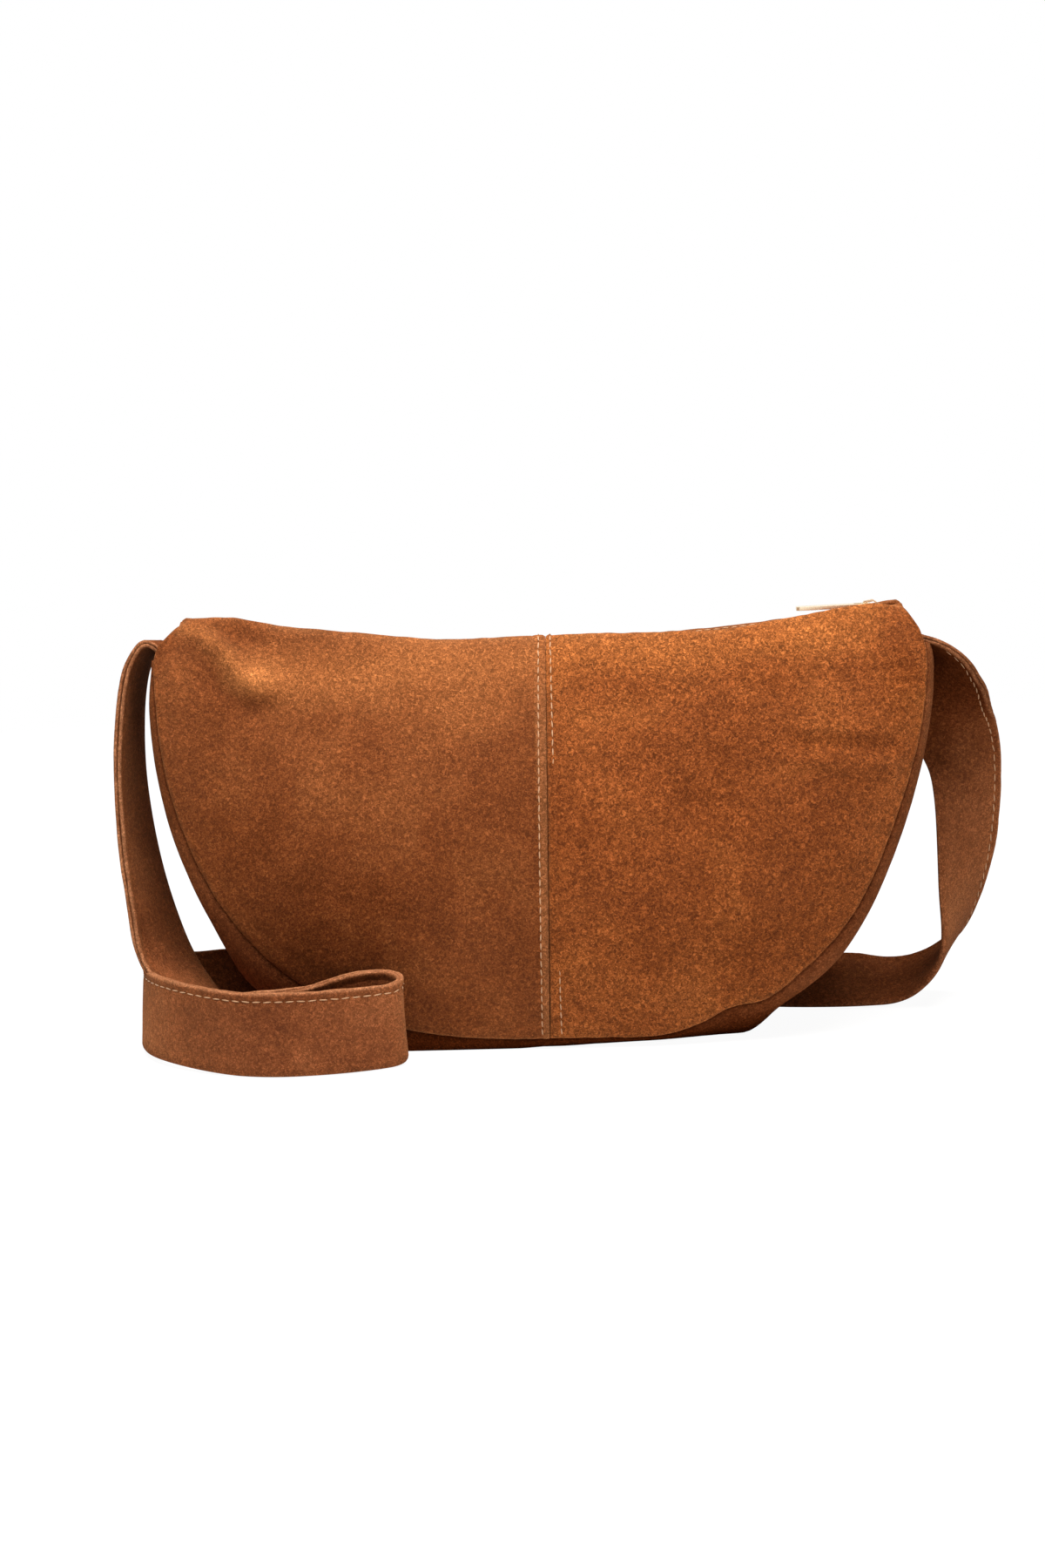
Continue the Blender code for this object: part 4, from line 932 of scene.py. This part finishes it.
def stitch_tree():
    """Row of stitches along a path: one rounded stitch to each pitch, laid on the path's "up" side."""
    tree = bpy.data.node_groups.new("stitch_row", "GeometryNodeTree")
    group_input(tree, "Path", "NodeSocketGeometry")
    sockets = {name: group_input(tree, name, "NodeSocketFloat", value) for name, value in (
        ("Pitch", PANEL_STITCHES[0]), ("Stitch Length", PANEL_STITCHES[1]), ("Thread Width", THREAD_WIDTH),
        ("Thread Height", THREAD_HEIGHT), ("Wander", STITCH_WANDER))}
    sockets["Seed"] = group_input(tree, "Seed", "NodeSocketInt", STITCH_SEED)
    sockets["Thread"] = group_input(tree, "Thread", "NodeSocketMaterial")
    tree.interface.new_socket(name="Stitches", in_out="OUTPUT", socket_type="NodeSocketGeometry")
    given = put(tree, "NodeGroupInput").outputs
    path = put(tree, "GeometryNodeMeshToCurve", {"Mesh": given["Path"]})
    steps = put(tree, "GeometryNodeResampleCurve", mode="LENGTH")
    fill(tree, steps, {"Curve": path, "Length": given["Pitch"]})
    tangent = put(tree, "GeometryNodeInputTangent")
    upward = put(tree, "GeometryNodeInputNamedAttribute", {"Name": "up"}, data_type="FLOAT_VECTOR")
    facing = put(tree, "FunctionNodeAlignRotationToVector", {"Vector": upward}, axis="Z")
    aimed = put(tree, "FunctionNodeAlignRotationToVector", {"Rotation": facing, "Vector": tangent},
                axis="X", pivot_axis="Z")
    low = maths(tree, "MULTIPLY", given["Wander"], -1)
    wander = put(tree, "FunctionNodeRandomValue", {2: low, 3: given["Wander"], "Seed": given["Seed"]},
                 data_type="FLOAT")
    spin = put(tree, "ShaderNodeCombineXYZ", {"Z": wander.outputs[1]})
    turned = put(tree, "FunctionNodeRotateRotation", {"Rotation": aimed, "Rotate By": spin},
                 rotation_space="LOCAL")
    ball = put(tree, "GeometryNodeMeshUVSphere", {
        "Segments": STITCH_SEGMENTS, "Rings": STITCH_RINGS, "Radius": 0.5})
    size = put(tree, "ShaderNodeCombineXYZ", {
        "X": given["Thread Height"], "Y": given["Thread Width"], "Z": given["Stitch Length"]})
    stitch = put(tree, "GeometryNodeTransform", {"Geometry": ball, "Scale": size})
    laid = put(tree, "GeometryNodeTransform", {"Geometry": stitch, "Rotation": (0, RIGHT_ANGLE, 0)})
    repeat = put(tree, "GeometryNodeInstanceOnPoints", {
        "Points": steps, "Instance": laid, "Rotation": turned})
    real = put(tree, "GeometryNodeRealizeInstances", {"Geometry": repeat})
    smooth = put(tree, "GeometryNodeSetShadeSmooth", {"Geometry": real})
    dyed = put(tree, "GeometryNodeSetMaterial", {"Geometry": smooth, "Material": given["Thread"]})
    put(tree, "NodeGroupOutput", {"Stitches": dyed})
    return tree, sockets


def sew(name, paths, stitches, thread, measures):
    """Stitches along paths of (point, up) pairs, as one plain mesh on the body "bag"."""
    tree, sockets = stitches
    mesh = bpy.data.meshes.new(name)
    points = [tuple(point) for path in paths for point, _ in path]
    edges = []
    start = 0
    for path in paths:
        edges += [(start + i, start + i + 1) for i in range(len(path) - 1)]
        start += len(path)
    mesh.from_pydata(points, edges, [])
    upward = mesh.attributes.new("up", "FLOAT_VECTOR", "POINT")
    ups = [value for path in paths for _, up in path for value in up]
    upward.data.foreach_set("vector", ups)
    piece = new_object(name, mesh)
    row = piece.modifiers.new("stitches", "NODES")
    row.node_group = tree
    row[sockets["Pitch"]], row[sockets["Stitch Length"]] = measures
    row[sockets["Thread"]] = thread
    bake(piece)
    piece.data.materials.clear()
    piece.data.materials.append(thread)
    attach(piece, "bag")
    return piece


# Pieces


def column_shares():
    """Places of a panel's lines from the middle to the end: close together at the sewn middle seam."""
    total = LENGTHS[-1]
    start = MIDDLE_COLUMNS[-1] / total
    shares = [value / total for value in MIDDLE_COLUMNS]
    return shares + [blend(start, 1, i / PANEL_COLUMNS) for i in range(1, PANEL_COLUMNS + 1)]


def folded_ends(rows, facing):
    """Close the panel's open ends: each is folded in behind the zip's end, over the strap, to the middle."""
    ends = []
    for row, outward in ((rows[0], -1), (rows[-1], 1)):
        columns = []
        if abs(row[-1].x) > ZIP_EDGE_HALF / 2:
            for part in END_FOLD_SHARES:
                bulge = END_FOLD_BULGE * math.sin(math.pi * min(part * END_FOLD_ROUND, 1) / 2)
                shift = Vector((outward * (bulge - END_FOLD_TUCK * part), 0, -END_FOLD_DROP * part))
                columns.append([
                    Vector((point.x, blend(point.y, facing * SEAM_GAP, part), point.z)) + shift
                    for point in row])
        ends.append(columns)
    return ends[0][::-1] + rows + ends[1]


def relieved_grid(shares, facing):
    """Panel grid with its relief raised along its normals, and the normals."""
    rows = [panel_line(share, facing) for share in shares]
    normals = grid_normals(rows, facing > 0)
    seed, coarse = FRONT_UNEVEN if facing < 0 else BACK_UNEVEN
    last = len(rows[0]) - 1
    for i, row in enumerate(rows):
        by_end = fade(abs(shares[i]), *PANEL_END_FADE)
        for j, point in enumerate(row):
            by_edge = fade(j, *PANEL_EDGE_FADE) * smooth_step((last - j) / LIP_ROWS)
            height = soft_relief(point, seed, coarse, PANEL_UNEVEN_FINE) * by_edge * by_end
            if facing < 0:
                level = blend(EDGE_RELIEF_SHARE, 1, by_edge) * (by_end if abs(point.x) > MIDDLE_ZONE else 1)
                height += front_relief(point) * level
            pucker = PUCKER * noise.noise(point * PUCKER_SCALE + Vector((seed, seed, 0)))
            height += (pucker + hump(j, *SEAM_SWELL)) * by_end
            row[j] = point + normals[i][j] * height
            if facing < 0:
                row[j].x += middle_shift(row[j].x, row[j].z)
    return rows, normals


def panel_wear_and_highlight(rows, left):
    """Pale wear along the rolled seam, wear and a painted highlight over the ridge by the zip, and on the left
    pale wear along the middle seam.
    """
    worn = []
    for row in rows:
        ridge_row = len(row) - 1 - LIP_ROWS
        for j, point in enumerate(row):
            ragged = WEAR_LEAST + WEAR_RAGGED * noise.noise(point * WEAR_SCALE)
            # The ridge's paleness is wear and a painted highlight where it faces the light
            level = (hump(j, *SEAM_WEAR) + hump(ridge_row - j, *RIDGE_WEAR_AND_HIGHLIGHT)) * ragged
            if left:
                by_side = fade(point.x, *MIDDLE_WEAR_SIDE_FADE)
                level += MIDDLE_WEAR * by_side * fade(point.z, *MIDDLE_WEAR_TOP_FADE)
            worn.append(min(max(level, 0), 1))
    return worn


def make_panel(name, node, places, facing, suede):
    """One panel, a wall of one layer, and the rows and normals of its outer face."""
    rows, normals = relieved_grid(places, facing)
    closed = folded_ends(rows, facing)
    mesh = grid_mesh(name, closed, flip=facing > 0)
    # Pale wear, with a painted highlight over the ridge
    mark(mesh, "worn", panel_wear_and_highlight(closed, places[-1] < 0))
    if facing < 0:
        # Painted shade and painted highlight of the front
        mark(mesh, "brushed", [front_painted_shading(point) for row in closed for point in row])
    piece = place_piece(name, mesh, suede)
    wall(piece, SUEDE)
    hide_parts(node)
    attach(piece, "bag")
    return rows, normals


def seam_path(rows, normals, column, sunk):
    """Path of the stitches beside the middle seam, out of sight in long nap at mid height."""
    path = []
    for j in range(FIRST_STITCH_ROW, len(rows[0]) - ROWS_ABOVE_STITCHES):
        point = rows[column][j]
        depth = sunk * fade(point.z, *SEAM_SUNK_TOP_FADE) * fade(point.z, *SEAM_SUNK_FOOT_FADE)
        path.append((point + normals[column][j] * (SEAM_STITCH_LIFT - depth), normals[column][j]))
    return path


def hem_path(rows, normals, start):
    """Path of the stitches that hold the hem to the zip's tape."""
    hem = len(rows[0]) - ROWS_ABOVE_HEM
    return [(row[hem] + up[hem] * HEM_STITCH_LIFT, up[hem]) for row, up in zip(rows, normals)
            if start <= abs(row[hem].x) < HEM_STITCHES[1]]


def make_panels(left_suede, right_suede):
    """Both front panels and the back, and the paths of the seam's stitches and of the hem's."""
    right = column_shares()
    left = [-share for share in reversed(right)]
    left_face = make_panel("front_suede_left", "front_panel_left", left, -1, left_suede)
    right_face = make_panel("front_suede_right", "front_panel_right", right, -1, right_suede)
    back_face = make_panel("back_suede", "back_panel", left + right, 1, left_suede)
    seams = (seam_path(*left_face, len(left) - 1 - STITCH_COLUMN, 0),
             seam_path(*right_face, STITCH_COLUMN, SEAM_STITCH_SUNK))
    starts = (HEM_STITCHES[0], HEM_STITCHES[0], 0)
    return seams, [hem_path(*face, start) for face, start in zip((left_face, right_face, back_face), starts)]


def gusset_line(turn):
    """Line across the gusset from the front seam to the back one, with its turned-in allowances."""
    seam = seam_line(turn)
    seam += side_tuck(seam, SEAM_TUCK_BELOW)
    crown = crown_line(turn)
    crown += side_tuck(crown, CROWN_TUCK_BELOW)
    crown.z = soft_foot(crown.z + humps(crown.x, CROWN_HUMPS))
    half_depth = seam_half_depth(turn)
    low = fade(abs(seam.x), *LOW_SIDE_FADE) * fade(crown.z, *LOW_TOP_FADE)
    low_flat = blend(LOW_LEFT_FLAT, LOW_RIGHT_FLAT, fade(seam.x, *LOW_TURN_FADE))
    front_flat = blend(GUSSET_FLAT_SHARE, low_flat, low)
    shift = front_seam_shift(turn)
    line = []
    for i in range(GUSSET_ROWS + 1):
        share = blend(-1, 1, i / GUSSET_ROWS)
        flat = front_flat if share < 0 else GUSSET_FLAT_SHARE
        edge = max(0, abs(share) - flat) / (1 - flat)
        start = seam + shift * smooth_step(-share * 2)
        line.append(start + (crown - start) * (1 - edge ** 2) + BACK * half_depth * share)
    allowances = []
    for place, facing in ((0, -1), (-1, 1)):
        along, across = allowance_frame(turn, facing)
        line[place] = line[place] + across * SEAM_GAP / 2
        allowances.append([line[place] + along * reach for reach in (ALLOWANCE_SHOWN, SEAM_ROLL / 2)])
    return allowances[0] + line + allowances[1][::-1]


def make_gusset(suede):
    """Gusset with its own soft unevenness, flat where it stands."""
    end_share = LENGTHS[bisect.bisect_left(TURNS, GUSSET_END_TURN)] / LENGTHS[-1]
    count = 2 * GUSSET_COLUMNS
    rows = [gusset_line(turn_at(blend(-end_share, end_share, i / count))) for i in range(count + 1)]
    normals = grid_normals(rows, True)
    for i, row in enumerate(rows):
        for j, point in enumerate(row):
            by_edge = fade(min(j, len(row) - 1 - j), *GUSSET_EDGE_FADE)
            height = soft_relief(point, *GUSSET_UNEVEN, GUSSET_UNEVEN_FINE) - GUSSET_SINK
            row[j] = point + normals[i][j] * height * by_edge * fade(point.z, *GUSSET_STANDING_FADE)
            row[j].z = max(row[j].z, 0)
    mesh = grid_mesh("gusset_suede", rows, flip=True)
    # Painted shade of the gusset, darkest at its foot by the floor
    mark(mesh, "brushed", [
        blend(GUSSET_FOOT_PAINTED_SHADE, GUSSET_SIDE_PAINTED_SHADE, fade(point.z, *GUSSET_PAINTED_SHADE_FADE))
        for row in rows for point in row])
    piece = place_piece("gusset_suede", mesh, suede)
    wall(piece, SUEDE)
    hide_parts("gusset")
    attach(piece, "bag")


def strap_root(side):
    """The strap's two first places: inside the bag's corner, and just outside the gusset."""
    turn = side * GUSSET_END_TURN
    outward = seam_outward(turn)
    upward = seam_tangent(turn) * side
    seat = seam_line(turn) + upward * (SEAM_GAP + STRAP_THICKNESS / 2)
    bulge = (crown_line(turn) - seam_line(turn)).length
    return seat - outward * STRAP_ROOT_DEPTH, seat + outward * (bulge + STRAP_ROOT_RISE)


def strap_stations():
    """Places along the strap's middle, each with the direction across it to its fold."""
    left = strap_root(-1)
    right = strap_root(1)
    lean = STRAP_LEAN.normalized()
    stations = [(left[0], BACK.copy()), (left[1] + UP * STRAP_LEFT_LIFT, lean)]
    for x, y, low, *direction in STRAP_ROUTE_SHARES:
        across = Vector(direction).normalized()
        upright = abs(across.z)
        reach = STRAP_WIDTH / 2 * upright + STRAP_THICKNESS / 2 * math.sqrt(1 - upright ** 2)
        stations.append((Vector((x * STRAP_REACH, y * STRAP_SPREAD, low * STRAP_RISE + reach)), across))
    return stations + [(right[1] - UP * STRAP_RIGHT_DROP, lean), (right[0], BACK.copy())]


def through(values, place, share):
    """Value on a smooth curve through all the values, at a share of the way past one of them."""
    a = values[max(place - 1, 0)]
    b = values[place]
    c = values[place + 1]
    d = values[min(place + 2, len(values) - 1)]
    bend = (c - a, a * 2 - b * 5 + c * 4 - d, b * 3 - a - c * 3 + d)
    return b + (bend[0] * share + bend[1] * share ** 2 + bend[2] * share ** 3) / 2


def smoothed(values, passes):
    """Values along the strap with each one drawn towards its neighbours, the first and last held."""
    for _ in range(passes):
        inner = [(a + b * 2 + c) / 4 for a, b, c in zip(values, values[1:], values[2:])]
        values = [values[0]] + inner + [values[-1]]
    return values


def square_to(direction, tangent):
    return (direction - tangent * direction.dot(tangent)).normalized()


def strap_frames():
    """Middle, direction across, and tangent at each step along the strap."""
    places, directions = zip(*strap_stations())
    middles, sides = [
        [through(values, i, step / STRAP_STEPS) for i in range(len(values) - 1) for step in range(STRAP_STEPS)]
        + [values[-1]] for values in (places, directions)]
    middles = smoothed(middles, STRAP_MIDDLE_PASSES)
    last = len(middles) - 1
    tangents = [(middles[min(i + 1, last)] - middles[max(i - 1, 0)]).normalized() for i in range(last + 1)]
    first_passes, second_passes = STRAP_SIDE_PASSES
    sides = [square_to(side, tangent) for side, tangent in zip(smoothed(sides, first_passes), tangents)]
    sides = smoothed(sides, second_passes)
    return [(middle, square_to(side, tangent), tangent)
            for middle, side, tangent in zip(middles, sides, tangents)]


def strap_outline(run, ends):
    """Ring of the strap at a length along it: two layers, sewn near their raw edges, and the fold."""
    half = STRAP_THICKNESS / 2
    width = STRAP_WIDTH / 2
    raw_front, raw_back = [
        inset - width + FRAY * drift(run * FRAY_SCALE, seed, 0)
        + FINE_FRAY * drift(run * FINE_FRAY_SCALE, seed, 1)
        for inset, seed in zip(RAW_INSETS, FRAY_SEEDS)]
    apart = ends * (LAYERS_APART + LAYERS_SWAY * drift(run * LAYERS_SWAY_SCALE, LAYERS_SWAY_SEED, 0))
    stitch = STRAP_STITCH_INSET - width
    places = [stitch + offset for offset in PLACES_BY_STITCH]
    places += [blend(stitch + FLAT_FROM_STITCH, width - FLAT_TO_FOLD, i / (FLAT_PLACES - 1))
               for i in range(FLAT_PLACES)]

    def face(side, raw):
        line = [(raw + inset, side * (half * level + apart)) for inset, level in RAW_ROUND]
        for place in places:
            level = half + apart * fade(place, stitch, LAYERS_FADE_LENGTH)
            line.append((place, side * (level - hump(place - stitch, *STRAP_STITCH_GROOVE))))
        return line

    def slit(side, raw):
        return [(raw, side * (STRAP_SLIT + apart)), (stitch - STRAP_SLIT_MOUTH, side * STRAP_SLIT),
                (STRAP_SLIT_DEPTH - width, side * STRAP_SLIT)]

    fold = [(width - inset, half * level) for inset, level in FOLD_ROUND]
    fold += [(width, 0)] + [(place, -level) for place, level in reversed(fold)]
    return (face(1, raw_front) + fold + face(-1, raw_back)[::-1]
            + slit(-1, raw_back) + slit(1, raw_front)[::-1])


def strap_painted_shade(place, side):
    """Painted shade on one side of the strap, where it lies in shade, at a place counted in rows of the route.
    """
    return sum(share * fade(place, *rows) for rows, share in STRAP_PAINTED_SHADE[side])


def strap_sunk(place, side):
    """How deep the strap's stitches sit in the nap."""
    return STRAP_STITCH_SUNK * sum(
        fade(place, start, STRAP_SUNK_ROWS) * fade(place, end, -STRAP_SUNK_ROWS)
        for start, end in STRAP_SUNK[side])


def strap_drift(run, beside, scales):
    return drift(run * scales[0], beside * scales[1], scales[2])


def strap_wear_and_shade(run, along, above, place):
    """How pale the strap's raw edges and fold are rubbed, with painted shade dimming the raw edges at the
    right.
    """
    ragged = STRAP_WEAR_LEAST + STRAP_WEAR_RAGGED * strap_drift(run, above, WEAR_NOISE)
    # Painted shade dims the pale raw edges where they lie in shade at the right
    raw = fade(along + STRAP_WIDTH / 2, *RAW_WEAR_FADE) * (1 - RAW_PAINTED_SHADE * fade(place, *RAW_PAINTED_SHADE_FADE))
    fold = fade(along - STRAP_WIDTH / 2, *FOLD_WEAR_FADE)
    return min((RAW_WEAR * raw + FOLD_WEAR * fold) * ragged, 1)


def make_strap(suede):
    """The folded strap, fine enough for its raw edges and stitch lines, and the paths of its stitches."""
    frames = strap_frames()
    lengths = running_lengths([middle for middle, _, _ in frames])
    rows = []
    worn = []
    brushed = []
    stitches = ([], [])
    for i, (middle, across, tangent) in enumerate(frames):
        normal = tangent.cross(across)
        run = lengths[i]
        to_end = min(run, lengths[-1] - run)
        ends = fade(to_end, *STRAP_END_FADE)
        place = i / STRAP_STEPS - 2
        ring = []
        for along, above in strap_outline(run, ends):
            worn.append(strap_wear_and_shade(run, along, above, place))
            # Painted shade where the strap lies in shade
            brushed.append(strap_painted_shade(place, 1 if above > 0 else -1))
            sway = STRAP_SWAY * strap_drift(run, along, SWAY_NOISE) * ends
            ring.append(middle + across * along + normal * (above + sway))
        lift = max(0, FLOOR_ROOM - min(point.z for point in ring))
        ring = [point + UP * lift for point in ring]
        rows.append(ring)
        if to_end > STRAP_END_FADE[0]:
            for path, side, point in zip(stitches, (1, -1), (
                    ring[STITCH_PLACE], ring[-1 - SLIT_PLACES - STITCH_PLACE])):
                up = normal * side
                path.append((point + up * (STRAP_STITCH_LIFT - strap_sunk(place, side)), up))
    mesh = grid_mesh("strap_suede", rows, ring=True)
    mark(mesh, "worn", worn)
    mark(mesh, "brushed", brushed)
    piece = place_piece("strap_suede", mesh, suede)
    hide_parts("strap")
    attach(piece, "bag")
    return stitches


def make_tape_tails(tape):
    """Ends of the tapes past the stops, where the two lie edge to edge."""
    for place, (start, end, inner) in TAPE_TAILS.items():
        for side, facing in (("front", -1), ("back", 1)):
            rows = []
            for i in range(TAPE_STEPS + 1):
                x = blend(start, end, i / TAPE_STEPS)
                top = zip_height(x, TAPE_THICKNESS / 2)
                low = zip_height(x, -TAPE_THICKNESS / 2)
                rows.append([Vector((x, facing * y, z)) for y, z in (
                    (TAPE_HALF_GAP, top), (inner, top), (inner, low), (TAPE_HALF_GAP, low))])
            name = "zip_tape_tail_" + side + "_" + place
            mesh = grid_mesh(name, rows, ring=True)
            mesh.shade_flat()
            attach(place_piece(name, mesh, tape), "bag")


def dress_zip(material, *nodes):
    """Material of some of the zip's own solids."""
    for node in nodes:
        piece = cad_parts[node]
        piece = bpy.data.objects[piece] if isinstance(piece, str) else piece
        if piece.material_slots:
            piece.material_slots[0].material = material
        else:
            piece.data.materials.append(material)


# Studio


def seen_rays(tree):
    """1 for rays that show a surface or the backdrop itself, 0 for rays that gather light."""
    path = put(tree, "ShaderNodeLightPath").outputs
    seen = maths(tree, "MAXIMUM", path["Is Camera Ray"], path["Is Glossy Ray"])
    return maths(tree, "MAXIMUM", seen, path["Is Transmission Ray"])


def split_by_rays(tree, output, gathered, seen):
    """Output that gives light as one shader and is seen as another."""
    mix = put(tree, "ShaderNodeMixShader", {0: seen_rays(tree), 1: gathered, 2: seen})
    put(tree, output, {"Surface": mix})


def make_floor():
    """Pale floor that shows white and keeps a faint shadow."""
    mesh = bpy.data.meshes.new("floor")
    turns = [math.tau * i / FLOOR_SIDES for i in range(FLOOR_SIDES)]
    rim = [(FLOOR_REACH * math.cos(turn), FLOOR_REACH * math.sin(turn), FLOOR_Z) for turn in turns]
    mesh.from_pydata(rim, [], [tuple(range(FLOOR_SIDES))])
    floor = new_object("floor", mesh)
    material, tree, _ = new_material("floor_white")
    tree.nodes.clear()
    plain = put(tree, "ShaderNodeBsdfDiffuse", {"Color": FLOOR_SHADE})
    shaded = put(tree, "ShaderNodeBsdfDiffuse", {"Color": FLOOR_SHADOW_SHADE})
    glow = put(tree, "ShaderNodeEmission", {"Color": WHITE, "Strength": FLOOR_GLOW})
    shown = put(tree, "ShaderNodeAddShader", {0: shaded, 1: glow})
    split_by_rays(tree, "ShaderNodeOutputMaterial", plain, shown)
    mesh.materials.append(material)


def make_world():
    """Even white light all round, and a white backdrop."""
    world = bpy.data.worlds.new("studio")
    bpy.context.scene.world = world
    world.use_nodes = True
    tree = world.node_tree
    tree.nodes.clear()
    soft, white = [put(tree, "ShaderNodeBackground", {"Color": WHITE, "Strength": level})
                   for level in (WORLD_LIGHT, 1.0)]
    split_by_rays(tree, "ShaderNodeOutputWorld", soft, white)


def add_area_light(name, place, target, size, power):
    light = bpy.data.lights.new(name, "AREA")
    light.shape = "RECTANGLE"
    light.size = size[0]
    light.size_y = size[1]
    light.energy = power
    lamp = new_object(name, light)
    lamp.location = place
    lamp.rotation_euler = (Vector(target) - Vector(place)).to_track_quat("-Z", "Y").to_euler()


def make_camera():
    """Camera of the photograph, a little above the bag and straight in front of it."""
    camera = bpy.data.cameras.new("photo_camera")
    camera.sensor_width = SENSOR
    width, height = IMAGE_SIZE
    camera.lens = PIXELS_PER_METRE * CAMERA_DISTANCE * SENSOR / height
    camera.shift_x = (width / 2 - TARGET_PIXEL[0]) / height
    camera.shift_y = (TARGET_PIXEL[1] - height / 2) / height
    camera.clip_end = CAMERA_FAR
    holder = new_object("photo_camera", camera)
    away = Vector((0, -math.cos(CAMERA_RISE), math.sin(CAMERA_RISE)))
    holder.location = CAMERA_TARGET + away * CAMERA_DISTANCE
    aim = (-away).to_track_quat("-Z", "Y").to_matrix().to_4x4()
    holder.rotation_euler = (aim @ Matrix.Rotation(-CAMERA_ROLL, 4, "Z")).to_euler()
    bpy.context.scene.camera = holder


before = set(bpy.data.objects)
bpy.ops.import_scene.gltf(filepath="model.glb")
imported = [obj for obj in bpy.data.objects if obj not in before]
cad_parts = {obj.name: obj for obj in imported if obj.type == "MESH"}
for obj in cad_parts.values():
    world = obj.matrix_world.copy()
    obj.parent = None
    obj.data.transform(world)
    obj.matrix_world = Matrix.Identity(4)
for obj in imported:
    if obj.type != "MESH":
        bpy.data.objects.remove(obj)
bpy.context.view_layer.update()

make_camera()
make_world()
make_floor()
for light in LIGHTS:
    add_area_light(*light)

smooth_suede, coarse_suede, dark_suede = [suede_material(*suede) for suede in SUEDES]
pale_thread = thread_material("pale_thread", (0.54, 0.285, 0.13))
pale_gold = metal_material("pale_gold", (0.93, 0.79, 0.56), 0.26)
gold_teeth = metal_material("gold_teeth", (0.80, 0.60, 0.32), 0.34)
brown_tape = tape_material("brown_tape", (0.16, 0.062, 0.026))

seam_paths, hem_paths = make_panels(smooth_suede, coarse_suede)
make_gusset(dark_suede)
strap_paths = make_strap(dark_suede)
stitches = stitch_tree()
for name, paths, slot, measures in (
        ("seam_thread_left", seam_paths[:1], "suede_smooth", PANEL_STITCHES),
        ("seam_thread_right", seam_paths[1:], "suede_coarse", PANEL_STITCHES),
        ("hem_thread", hem_paths, "suede_smooth", PANEL_STITCHES),
        ("strap_thread", strap_paths, "suede_dark", STRAP_STITCHES)):
    sew(name, paths, stitches, pale_thread, measures)
make_tape_tails(brown_tape)
dress_zip(pale_gold, "zip_slider", "zip_pull", "zip_top_stop_front", "zip_top_stop_back", "zip_bottom_stop")
dress_zip(gold_teeth, "zip_teeth_front", "zip_teeth_back")
dress_zip(brown_tape, "zip_tape_front", "zip_tape_back")

bpy.context.scene.view_settings.view_transform = "Standard"
